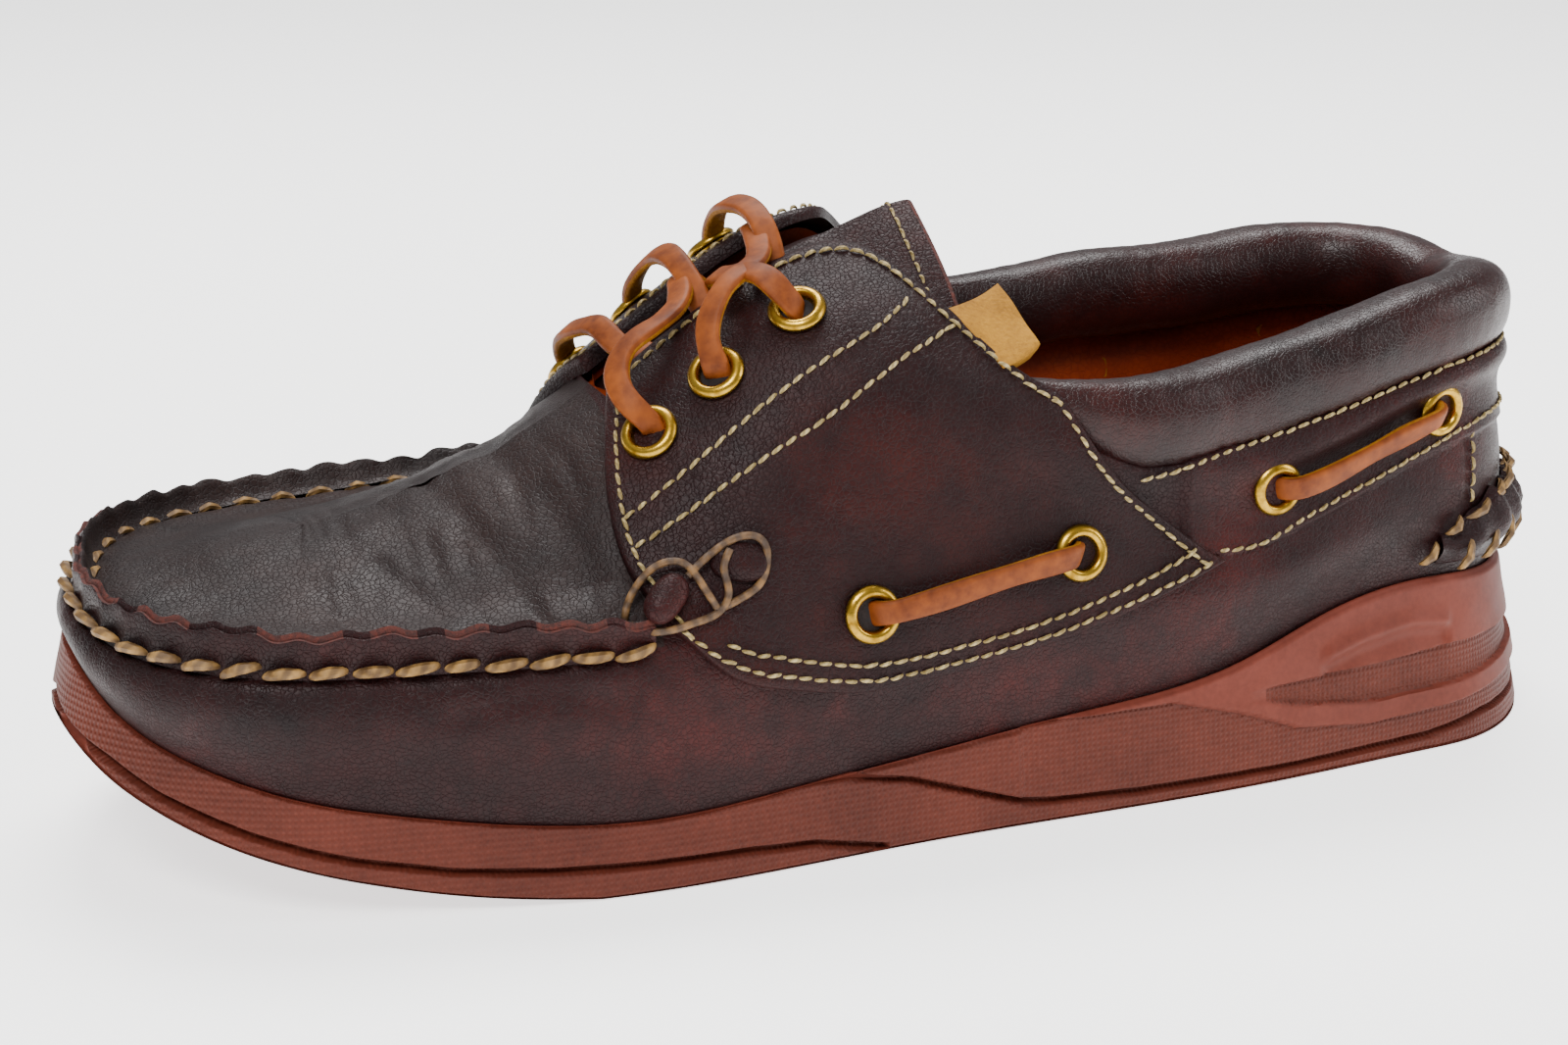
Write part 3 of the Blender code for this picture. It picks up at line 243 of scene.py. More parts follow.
def place_raw(along, side, radius, height):
    spine, turn = stations(along)
    aside = curve(SPINE, spine / LENGTH) * BALL_WIDTH
    return np.stack(np.broadcast_arrays(-(spine - radius * np.cos(turn)),
                                        aside + side * radius * np.sin(turn),
                                        height + 0 * spine), -1)


def sole_radius(along, side, lean=0.0):
    radius = round_outline(along, side, [r.lateral for r in SOLE], [r.medial for r in SOLE])
    inset = round_outline(along, side, [r.lean for r in SOLE], [r.lean for r in SOLE])
    return radius * BALL_WIDTH - inset * SOLE_LEAN * lean


def outline_middle():
    steps = np.linspace(0, 1, 300)
    both = [place_raw(steps, side, sole_radius(steps, side), 0) for side in (LATERAL, MEDIAL)]
    points = np.concatenate(both)
    return (points.min(0) + points.max(0)) / 2


MIDDLE = outline_middle()


def place(along, side, radius, height):
    return place_raw(along, side, radius, height) - MIDDLE * (1, 1, 0)


def sole_edge(along, side):
    return SOLE_EDGE * round_outline(along, side, [r.edge_lateral for r in SOLE],
                                     [r.edge_medial for r in SOLE])


def spring(distance):
    share = np.asarray(distance, float) / LENGTH
    toe = np.where(share > SPRING[0][0], curve(SPRING, share), 0) * TOE_SPRING
    heel = HEEL_BEVEL * np.clip(1 - share * LENGTH / HEEL_BEVEL_RUN, 0, 1) ** 2
    return toe + heel


def bed(distance):
    t = np.clip((distance / LENGTH - RISE_START) / (RISE_END - RISE_START), 0, 1)
    return spring(distance) + HEEL_RISE + (BALL_RISE - HEEL_RISE) * t * t * (3 - 2 * t)


def rings(along, side):
    foot = sole_radius(along, side, 0.6) - CUP_WALL - 0.3 * MM
    foot_up = bed(distance_from_heel(along, foot)) + WALL + 1.1 * MM
    rim = sole_radius(along, side, 1.0) - CUP_LIP - 0.3 * MM
    lateral = np.array(LAST_LATERAL)
    medial = np.array(LAST_MEDIAL)
    lateral[:, -1] = medial[:, -1] = (lateral[:, -1] + medial[:, -1]) / 2
    value = round_outline(along, side, lateral, medial)
    out = [foot, rim] + [value[..., i] * BALL_WIDTH for i in (0, 2, 4, 6)] + [0 * foot]
    up = [foot_up, sole_edge(along, side)]
    up += [value[..., i] * INSTEP_HEIGHT for i in (1, 3, 5, 7, 8)]
    return np.stack(out, -1), np.stack(up, -1)


def last_surface(along, side, level):
    along, side, level = np.broadcast_arrays(np.asarray(along, float), side,
                                             np.asarray(level, float))
    out, up = rings(along, side)
    weight = spline_weights(LEVELS, level)
    return place(along, side, (weight * out).sum(-1), (weight * up).sum(-1))


def last_normal(along, side, level):
    along, side, level = np.broadcast_arrays(np.asarray(along, float), side,
                                             np.asarray(level, float))
    ahead = 0.0025
    rise = 0.004
    clear = np.minimum(level, 0.93)
    near = along - ahead
    far = along + ahead
    forward = (last_surface(np.where(far > 1, 2 - far, far), np.where(far > 1, -side, side), clear)
               - last_surface(np.abs(near), np.where(near < 0, -side, side), clear))
    upward = (last_surface(along, side, np.clip(level + rise, 0, 1))
              - last_surface(along, side, np.clip(level - rise, 0, 1)))
    out = np.cross(forward, upward) * np.asarray(side)[..., None]
    return out / np.linalg.norm(out, axis=-1, keepdims=True)


def on_last(along, side, level, height=0.0):
    return (last_surface(along, side, level)
            + last_normal(along, side, level) * np.asarray(height)[..., None])


def smooth(x, low, high):
    t = np.clip((np.asarray(x, float) - low) / (high - low), 0, 1)
    return t * t * (3 - 2 * t)


print("middle of the outline", MIDDLE)

# %% [markdown]
# ## Mesh helpers
# Leather is cut from flat hides, so most pieces are sheets: a grid of points
# laid on the last.  Thread is many short bent rods, joined into one mesh.


# %% Mesh helpers
def make_mesh(name, points, faces, materials, replaces=(), slot=None, uv=None, which=None):
    mesh = bpy.data.meshes.new(name)
    mesh.from_pydata(np.asarray(points).reshape(-1, 3).tolist(), [], faces)
    for material in materials:
        mesh.materials.append(material)
    if which is not None:
        mesh.polygons.foreach_set("material_index", np.asarray(which, np.int32))
    if uv is not None:
        layer = mesh.uv_layers.new(name="UVMap")
        corners = np.zeros(len(mesh.loops), np.int32)
        mesh.loops.foreach_get("vertex_index", corners)
        layer.data.foreach_set("uv", np.asarray(uv).reshape(-1, 2)[corners].ravel())
    mesh.validate()
    mesh.shade_smooth()
    mesh.set_sharp_from_angle(angle=math.radians(50))
    piece = bpy.data.objects.new(name, mesh)
    bpy.context.collection.objects.link(piece)
    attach(piece, "root")
    if replaces:
        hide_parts(*replaces)
    return piece


def grid_of(along, side, count):
    """The columns' along and side, repeated over a grid with that many levels."""
    return np.repeat(along[:, None], count, 1), np.repeat(side[:, None], count, 1)


def grid_faces(rows, columns, wrap_rows=False, wrap_columns=False, flip=False, start=0):
    last_row = rows if wrap_rows else rows - 1
    last_column = columns if wrap_columns else columns - 1
    r = np.arange(last_row)[:, None]
    c = np.arange(last_column)[None]
    a = r * columns + c
    b = r * columns + (c + 1) % columns
    d = (r + 1) % rows * columns + c
    e = (r + 1) % rows * columns + (c + 1) % columns
    quads = np.stack([a, b, e, d], -1).reshape(-1, 4) + start
    return (quads[:, ::-1] if flip else quads).tolist()


def grid_border(rows, columns):
    """Corners round the outside of a grid, in order."""
    edge = list(range(columns)) + [r * columns + columns - 1 for r in range(1, rows)]
    edge += [(rows - 1) * columns + c for c in range(columns - 2, -1, -1)]
    return edge + [r * columns for r in range(rows - 2, 0, -1)]


def noise(points, size, seed):
    """Soft random field in about -1..1, the same on every run."""
    rng = np.random.default_rng(seed)
    total = 0.0
    for _ in range(7):
        way = rng.normal(size=3)
        way = way / np.linalg.norm(way)
        total = total + np.sin(points @ way * 2 * np.pi / size * rng.uniform(0.6, 1.5)
                               + rng.uniform(0, 2 * np.pi))
    return total / 3.0


def resample(points, step):
    """Points at equal steps along a line, with their shares of its knots."""
    points = np.asarray(points, float)
    length = np.concatenate([[0], np.cumsum(np.linalg.norm(np.diff(points[:, :3], axis=0), axis=1))])
    count = max(2, int(round(length[-1] / step)) + 1)
    want = np.linspace(0, length[-1], count)
    return np.stack([np.interp(want, length, points[:, i]) for i in range(points.shape[1])], -1)


def soften(rows, count):
    """Smooth line through given rows of along, level and lift."""
    rows = np.array(rows, float)
    knots = np.linspace(0, 1, len(rows))
    return spline_weights(knots, np.linspace(0, 1, count)) @ rows


def sew(name, line, side, pitch, length, thick, material, height=0.0, slant=0.0, slot=None,
        wobble=0.08, arch=0.6, seed=1):
    """Row of stitches on the last along rows of (along, level); side is a number or per row."""
    line = np.asarray(line, float)
    sides = np.broadcast_to(side, len(line))
    lift = line[:, 2] if line.shape[1] > 2 else np.zeros(len(line))
    base = on_last(line[:, 0], sides, line[:, 1], lift + height)
    normal = last_normal(line[:, 0], sides, line[:, 1])
    return sew_on(name, base, normal, pitch, length, thick, material, slant, slot, wobble, arch,
                  seed)


def sew_on(name, base, normal, pitch, length, thick, material, slant=0.0, slot=None,
           wobble=0.08, arch=0.6, seed=1):
    walked = resample(np.concatenate([base, normal], 1), pitch)
    centre = walked[:, :3]
    normal = walked[:, 3:]
    way = np.gradient(centre, axis=0)
    way /= np.linalg.norm(way, axis=1, keepdims=True)
    across = np.cross(normal, way)
    across /= np.linalg.norm(across, axis=1, keepdims=True)
    rng = np.random.default_rng(seed)
    count = len(centre)
    angle = slant + rng.normal(0, wobble, count)
    run = way * np.cos(angle)[:, None] + across * np.sin(angle)[:, None]
    beside = np.cross(normal, run)
    size = length * (1 + rng.normal(0, wobble, count))
    centre = centre + across * rng.normal(0, wobble * thick, count)[:, None]
    steps = np.array([-0.5, -0.46, -0.36, -0.16, 0.0, 0.16, 0.36, 0.46, 0.5])
    fat = np.array([0.22, 0.50, 0.78, 0.95, 1.0, 0.95, 0.78, 0.50, 0.22])
    rise = np.array([-1.0, -0.55, 0.05, 0.5, arch, 0.5, 0.05, -0.55, -1.0])
    turn = np.arange(6) / 6 * 2 * np.pi
    middle = (centre[:, None] + run[:, None] * (steps * size[:, None])[..., None]
              + normal[:, None] * (rise * thick / 2)[None, :, None])
    ring = (beside[:, None] * np.cos(turn)[None, :, None]
            + normal[:, None] * np.sin(turn)[None, :, None])
    points = middle[:, :, None] + fat[None, :, None, None] * thick / 2 * ring[:, None]
    faces = []
    block = len(steps) * 6
    for i in range(count):
        faces += grid_faces(len(steps), 6, wrap_columns=True, start=i * block)
        faces.append([i * block + k for k in range(6)][::-1])
        faces.append([(i + 1) * block - 6 + k for k in range(6)])
    u = steps[None, :, None] * size[:, None, None] + 0 * turn
    v = np.broadcast_to(turn / (2 * np.pi), u.shape)
    return make_mesh(name, points, faces, [material], slot=slot, uv=np.stack([u, v], -1))


def panel(name, where, side, thick, materials, nu=60, nv=40, lift=0.0, round_off=0.0012,
          width=(0.1, 0.05), bump=None, edge_index=0, **more):
    """Thick sheet on the last: where(u, v) gives along and level, width its size in metres."""
    def steps(count, size):
        r = round_off / size
        inner = np.linspace(r, 1 - r, count)
        return (np.concatenate([[0, 0.12 * r, 0.45 * r], inner, [1 - 0.45 * r, 1 - 0.12 * r, 1]]),
                np.concatenate([[0.0, 0.62, 0.92], np.ones(count), [0.92, 0.62, 0.0]]))

    u, hu = steps(nu, width[0])
    v, hv = steps(nv, width[1])
    along, level = where(*np.meshgrid(u, v, indexing="ij"))
    high = np.minimum(hu[:, None], hv[None])
    base = last_surface(along, side, level)
    normal = last_normal(along, side, level)
    top = thick * high + lift
    if bump is not None:
        top = top + high * bump(along, level, base)
    outer = base + normal * top[..., None]
    inner = base + normal * (lift - 0.1 * MM)
    rows, columns = along.shape
    faces = grid_faces(rows, columns, flip=side < 0)
    faces += grid_faces(rows, columns, flip=side > 0, start=rows * columns)
    edge = grid_border(rows, columns)
    n = rows * columns
    for a, b in zip(edge, edge[1:] + edge[:1]):
        faces.append([a, b, b + n, a + n] if side > 0 else [a + n, b + n, b, a])
    quads = (rows - 1) * (columns - 1)
    which = np.zeros(len(faces), int)
    which[quads:] = edge_index
    if edge_index:
        soft = high < 0.9
        cell = soft[:-1, :-1] | soft[1:, 1:]
        which[:quads] = np.where(cell.ravel(), edge_index, 0)
    flat = np.stack([along * SPAN, level * 0.12], -1)
    uv = np.concatenate([flat.reshape(-1, 2)] * 2)
    return make_mesh(name, np.concatenate([outer.reshape(-1, 3), inner.reshape(-1, 3)]), faces,
                     materials, uv=uv, which=which, **more)


def tube(name, centre, across, up, wide, thick, materials, sides=12, power=3.0, **more):
    """Strap or cord with a rounded flat section."""
    turn = np.arange(sides) / sides * 2 * np.pi
    c = np.sign(np.cos(turn)) * np.abs(np.cos(turn)) ** (2 / power)
    s = np.sign(np.sin(turn)) * np.abs(np.sin(turn)) ** (2 / power)
    wide = np.broadcast_to(wide, len(centre))[:, None, None]
    thick = np.broadcast_to(thick, len(centre))[:, None, None]
    points = (centre[:, None] + across[:, None] * c[None, :, None] * wide / 2
              + up[:, None] * s[None, :, None] * thick / 2)
    faces = grid_faces(len(centre), sides, wrap_columns=True)
    faces.append(list(range(sides))[::-1])
    faces.append([len(centre) * sides - sides + k for k in range(sides)])
    which = None
    if len(materials) > 1:
        middle = (turn + np.pi / sides) % (2 * np.pi)
        below = (middle > np.pi * 1.04) & (middle < np.pi * 1.96)
        which = np.concatenate([np.tile(below.astype(int), len(centre) - 1), [1, 1]])
    length = np.concatenate([[0], np.cumsum(np.linalg.norm(np.diff(centre, axis=0), axis=1))])
    u = np.repeat(length[:, None], sides, 1)
    v = np.repeat((turn / (2 * np.pi) * 0.012)[None], len(centre), 0)
    return make_mesh(name, points, faces, materials, uv=np.stack([u, v], -1), which=which, **more)


# %% [markdown]
# ## Materials
# Colours were judged from the photograph, as sRGB, and turned linear.
# The upper is an oiled full-grain hide: a dark burgundy finish that lets a
# redder ground show where it is rubbed, with a fine pebbled grain.


# %% Materials
def linear(code):
    value = np.array([int(code[i:i + 2], 16) for i in (1, 3, 5)]) / 255
    return tuple(np.where(value <= 0.04045, value / 12.92, ((value + 0.055) / 1.055) ** 2.4)) + (1,)


class Paint:
    """A material with its node tree, and one function to add a node."""

    def __init__(self, name, roughness, metallic=0.0):
        self.material = bpy.data.materials.new(name)
        self.material.use_nodes = True
        self.tree = self.material.node_tree
        self.shader = self.tree.nodes["Principled BSDF"]
        self.shader.inputs["Roughness"].default_value = roughness
        self.shader.inputs["Metallic"].default_value = metallic

    def node(self, kind, inputs=(), **settings):
        made = self.tree.nodes.new(kind)
        for key, value in settings.items():
            setattr(made, key, value)
        for key, value in dict(inputs).items():
            if isinstance(value, bpy.types.NodeSocket):
                self.tree.links.new(value, made.inputs[key])
            else:
                made.inputs[key].default_value = value
        return made

    def place(self, kind="Object"):
        return self.node("ShaderNodeTexCoord").outputs[kind]

    def noise(self, size, detail=3.0, where=None, rough=0.55):
        return self.node("ShaderNodeTexNoise", {"Vector": where or self.place(), "Scale": 1 / size,
                                                "Detail": detail, "Roughness": rough}).outputs["Fac"]

    def ramp(self, fac, stops):
        made = self.node("ShaderNodeValToRGB", {"Fac": fac})
        ramp = made.color_ramp
        while len(ramp.elements) < len(stops):
            ramp.elements.new(0.5)
        for element, (where, colour) in zip(ramp.elements, stops):
            element.position = where
            element.color = linear(colour) if isinstance(colour, str) else (colour,) * 3 + (1,)
        return made.outputs["Color"]

    def mix(self, fac, first, second, blend="MIX"):
        made = self.node("ShaderNodeMix", data_type="RGBA", blend_type=blend)
        for key, value in ((0, fac), (6, first), (7, second)):
            if isinstance(value, bpy.types.NodeSocket):
                self.tree.links.new(value, made.inputs[key])
            elif isinstance(value, str):
                made.inputs[key].default_value = linear(value)
            else:
                made.inputs[key].default_value = value
        return made.outputs[2]

    def maths(self, what, first, second):
        return self.node("ShaderNodeMath", {0: first, 1: second}, operation=what).outputs[0]

    def bump(self, height, distance, strength=1.0, before=None):
        made = self.node("ShaderNodeBump", {"Height": height, "Distance": distance,
                                            "Strength": strength})
        if before:
            self.tree.links.new(before, made.inputs["Normal"])
        return made.outputs["Normal"]

    def use(self, **sockets):
        for name, value in sockets.items():
            self.tree.links.new(value, self.shader.inputs[name.replace("_", " ")])
        return self.material


def leather(name, dark, middle, rubbed, rough=(0.36, 0.52), grain=0.9 * MM, depth=0.16 * MM,
            gloss=0.24):
    """Oiled full-grain hide: mottled dye, pebbled grain with painted shade in its valleys, and fine
    creases.
    """
    p = Paint(name, rough[0])
    p.shader.inputs["Specular IOR Level"].default_value = gloss
    cloud = p.noise(34 * MM, 4)
    fine = p.noise(5 * MM, 5)
    spread = p.maths("ADD", p.maths("MULTIPLY", cloud, 0.72), p.maths("MULTIPLY", fine, 0.28))
    colour = p.ramp(spread, [(0.32, dark), (0.52, middle), (0.74, rubbed)])
    where = p.place()
    drift = p.node("ShaderNodeTexNoise", {"Vector": where, "Scale": 0.5 / grain, "Detail": 3.0})
    drift = p.node("ShaderNodeVectorMath", {0: drift.outputs["Color"], "Scale": 1.6 * grain},
                   operation="SCALE").outputs[0]
    bent = p.node("ShaderNodeVectorMath", {0: where, 1: drift}, operation="ADD").outputs[0]
    cells = p.node("ShaderNodeTexVoronoi", {"Vector": bent, "Scale": 1 / grain},
                   feature="DISTANCE_TO_EDGE").outputs["Distance"]
    pebble = p.ramp(cells, [(0.0, 0.0), (0.10, 0.7), (0.40, 1.0)])
    # Painted shade: colour mixed towards the dark tone in the grain's valleys, where the bump is
    # lowest
    colour = p.mix(p.ramp(cells, [(0.0, 0.45), (0.16, 0.0)]), colour, dark)
    creases = p.noise(2.4 * MM, 6, rough=0.62)
    height = p.maths("ADD", p.maths("MULTIPLY", pebble, 0.55), p.maths("MULTIPLY", creases, 0.9))
    normal = p.bump(height, depth)
    sheen = p.ramp(p.noise(11 * MM, 4), [(0.3, rough[0]), (0.75, rough[1])])
    return p.use(Base_Color=colour, Roughness=sheen, Normal=normal)


def rough_edge(name, dark, light):
    """Cut edge or flesh side, fibrous and dull."""
    p = Paint(name, 0.85)
    fibre = p.noise(0.9 * MM, 6)
    colour = p.ramp(fibre, [(0.3, dark), (0.7, light)])
    return p.use(Base_Color=colour, Normal=p.bump(fibre, 0.35 * MM))


def thread(name, dark, light, twist):
    """Twisted waxed thread: slanted plies from the stitch's own coordinates, with painted shade
    between them.
    """
    p = Paint(name, 0.62)
    where = p.node("ShaderNodeMapping", {"Vector": p.place("UV"), "Scale": (1 / twist, 2, 1)})
    ply = p.node("ShaderNodeTexWave", {"Vector": where.outputs[0], "Scale": 0.32,
                                       "Distortion": 0.4, "Detail": 1.0},
                 wave_type="BANDS", bands_direction="DIAGONAL").outputs["Fac"]
    stain = p.noise(3 * MM, 3)
    # Painted shade: the grooves between the plies are mixed towards the dark tone
    colour = p.mix(p.ramp(ply, [(0.1, 0.75), (0.6, 0.0)]), p.ramp(stain, [(0.3, dark), (0.65, light)]),
                   dark)
    return p.use(Base_Color=colour, Normal=p.bump(ply, 0.25 * MM))


def rawhide(name, dark, light, suede):
    p = Paint(name, 0.75 if suede else 0.55)
    p.shader.inputs["Specular IOR Level"].default_value = 0.2
    nap = p.noise(0.7 * MM if suede else 2.0 * MM, 6)
    cloud = p.noise(9 * MM, 3)
    spread = p.maths("ADD", p.maths("MULTIPLY", cloud, 0.6), p.maths("MULTIPLY", nap, 0.4))
    colour = p.ramp(spread, [(0.35, dark), (0.62, light)])
    return p.use(Base_Color=colour, Normal=p.bump(nap, (0.30 if suede else 0.10) * MM))


def rubber(name, dark, light, ribbed):
    """Moulded crepe-like rubber; ribs follow the wall's own coordinates, with painted shade in their
    grooves.
    """
    p = Paint(name, 0.58)
    p.shader.inputs["Specular IOR Level"].default_value = 0.22
    cloud = p.noise(24 * MM, 4)
    dust = p.noise(1.2 * MM, 4)
    spread = p.maths("ADD", p.maths("MULTIPLY", cloud, 0.65), p.maths("MULTIPLY", dust, 0.35))
    colour = p.ramp(spread, [(0.36, dark), (0.62, light)])
    height = p.maths("MULTIPLY", dust, 0.25)
    depth = 0.08 * MM
    if ribbed:
        uv = p.place("UV")
        weave = []
        for direction in ("X", "Y"):
            wave = p.node("ShaderNodeTexWave", {"Vector": uv, "Scale": 1 / (3.1416 * 1.1 * MM),
                                                "Distortion": 0.0},
                          wave_type="BANDS", bands_direction=direction).outputs["Fac"]
            weave.append(wave)
        crossed = p.maths("MULTIPLY", weave[0], weave[1])
        height = p.maths("ADD", height, crossed)
        # Painted shade: the grooves between the ribs are mixed towards the dark tone
        colour = p.mix(p.ramp(crossed, [(0.05, 0.35), (0.5, 0.0)]), colour, dark)
        depth = 0.22 * MM
    return p.use(Base_Color=colour, Normal=p.bump(height, depth))


def brass(name):
    p = Paint(name, 0.27, 1.0)
    tarnish = p.noise(2.2 * MM, 5)
    colour = p.ramp(tarnish, [(0.3, "#7c5a14"), (0.6, "#bd9634")])
    rough = p.ramp(tarnish, [(0.3, 0.42), (0.65, 0.22)])
    return p.use(Base_Color=colour, Roughness=rough,
                 Normal=p.bump(p.noise(0.6 * MM, 3), 0.02 * MM))


VAMP = leather("vamp_leather", "#120607", "#260c0c", "#451613", gloss=0.16)
APRON = leather("apron_leather", "#130c0c", "#201210", "#2c1b17", rough=(0.42, 0.56),
                grain=1.0 * MM, depth=0.13 * MM, gloss=0.19)
QUARTER = leather("quarter_leather", "#110607", "#230c0c", "#38130f", rough=(0.38, 0.52),
                  gloss=0.15)
COLLAR = leather("collar_leather", "#130707", "#260d0c", "#3f1612", rough=(0.28, 0.40),
                 grain=0.9 * MM, depth=0.08 * MM, gloss=0.26)
LINING = leather("lining_leather", "#6e2406", "#8a3208", "#9c4010", rough=(0.55, 0.7),
                 grain=1.6 * MM, depth=0.07 * MM, gloss=0.2)
RED_EDGE = rough_edge("raw_edge", "#260c08", "#541e12")
# Dark paint for the painted shade inside the eyelets
EYELET_SHADE_PAINT = rough_edge("inked_edge", "#0c0505", "#1c0d0b")
TAB = rawhide("undyed_leather_grain", "#7c5216", "#a97724", True)
HAND_THREAD = thread("waxed_thread", "#4a3214", "#96713a", 1.6 * MM)
KNOT_THREAD = thread("knot_thread", "#33200f", "#76542c", 1.4 * MM)
FINE_THREAD = thread("machine_thread", "#74602f", "#bba673", 0.9 * MM)
LACE_FACE = rawhide("lace_face", "#552407", "#864312", False)
LACE_BACK = rawhide("lace_back", "#744207", "#a36c12", True)
RIBBED = rubber("ribbed_rubber", "#481c11", "#60291b", True)
PLAIN = rubber("smooth_rubber", "#552216", "#6a2f22", False)
BRASS = brass("worn_brass")
print("materials", len(bpy.data.materials))

# %% [markdown]
# ## Stitch sizes
# Hand stitches are long and thick, because a person pulls each one tight.  The
# machine's are short and even.

# %% Stitch sizes
STITCH_PITCH = 7.4 * MM
HAND_LONG = 7.2 * MM
HAND_THICK = 1.9 * MM
HAND_INNER_LONG = 5.9 * MM
HAND_INNER_THICK = 1.5 * MM
MACHINE_PITCH = 2.9 * MM
MACHINE_LONG = 2.6 * MM
MACHINE_THICK = 0.75 * MM
FINE_THICK = 0.7 * MM
HEEL_PITCH = 7.0 * MM
HEEL_LONG = 6.2 * MM
HEEL_THICK = 1.7 * MM
KNOT_THICK = 1.35 * MM
print("hand pitch", STITCH_PITCH, "machine pitch", MACHINE_PITCH)

# %% [markdown]
# ## Upper
# The vamp is one hide that wraps under the foot; the apron on top is a second
# hide.  Both are one fine grid here, closed round the heel and the toe, and
# the apron gets its own, duller finish.

# %% Vamp, apron and quarters
LOOP_STATIONS = 330
LINING_STATIONS = 140
LINING_LEVELS = 40
FOOT_LEVEL = 0.03
SEAM_SHARE = 0.42
PUCKER = 0.30 * MM
SEAM_SINK = 0.9 * MM
APRON_SWELL = 0.5 * MM
STRAP_OUT = 0.9 * MM
BACK_SEAM_AT = 0.163
BACK_SEAM_DEPTH = 0.6 * MM
PAD_SINK = 1.5 * MM
FOLD_DEPTH = 0.30 * MM
RIDGE_HIGH = 4.6 * MM
BAND_LOW = 0.452
BAND_END = 0.335

# Creases of the apron: rows of along and level, with depth and width
Crease = namedtuple("Crease", "side depth wide rows")
CREASES = [
    Crease(LATERAL, 0.9, 0.012, [(0.672, 0.62), (0.680, 0.76), (0.690, 0.90), (0.694, 1.0)]),
    Crease(LATERAL, 0.5, 0.008, [(0.700, 0.52), (0.708, 0.68), (0.722, 0.86), (0.730, 1.0)]),
    Crease(LATERAL, 0.4, 0.006, [(0.735, 0.50), (0.748, 0.62), (0.765, 0.78)]),
    Crease(LATERAL, 0.35, 0.006, [(0.780, 0.49), (0.795, 0.60), (0.808, 0.74)]),
    Crease(LATERAL, 0.8, 0.020, [(0.660, 0.20), (0.700, 0.24), (0.750, 0.22), (0.79, 0.18)]),
    Crease(LATERAL, 0.5, 0.012, [(0.670, 0.32), (0.705, 0.34), (0.745, 0.31)]),
    Crease(LATERAL, 0.6, 0.014, [(0.46, 0.21), (0.50, 0.25), (0.55, 0.22)]),
    Crease(MEDIAL, 0.9, 0.012, [(0.668, 0.62), (0.678, 0.78), (0.690, 0.92), (0.694, 1.0)]),
    Crease(MEDIAL, 0.5, 0.008, [(0.712, 0.52), (0.720, 0.70), (0.730, 0.88)]),
    Crease(MEDIAL, 0.7, 0.018, [(0.670, 0.22), (0.710, 0.26), (0.760, 0.22)]),
]


def crease_depth(along, side, level):
    total = np.zeros(along.shape)
    for crease in CREASES:
        rows = soften(crease.rows, 24)
        near = np.full(along.shape, 9.0)
        for row in rows:
            gap = ((along - row[0]) / crease.wide) ** 2 + ((level - row[1]) / (crease.wide * 3)) ** 2
            near = np.minimum(near, gap)
        total += np.where(side == crease.side, crease.depth * MM * np.exp(-near * 1.6), 0)
    return total


def shell_top(along):
    return np.where(along >= THROAT_FRONT, 1.0, straight(TOP_EDGE, along))


def loop_columns(count):
    half = np.linspace(0, 1, count)
    along = np.concatenate([half, half[-2:0:-1]])
    side = np.concatenate([np.full(count, LATERAL), np.full(count - 2, MEDIAL)])
    return along, side


# Level where the padded collar meets the strap's top row of stitches
PAD_FOOT = [(0.0, 0.785), (0.281, 0.785), (0.332, 0.762), (0.378, 0.700), (0.44, 0.740),
            (0.47, 0.80)]


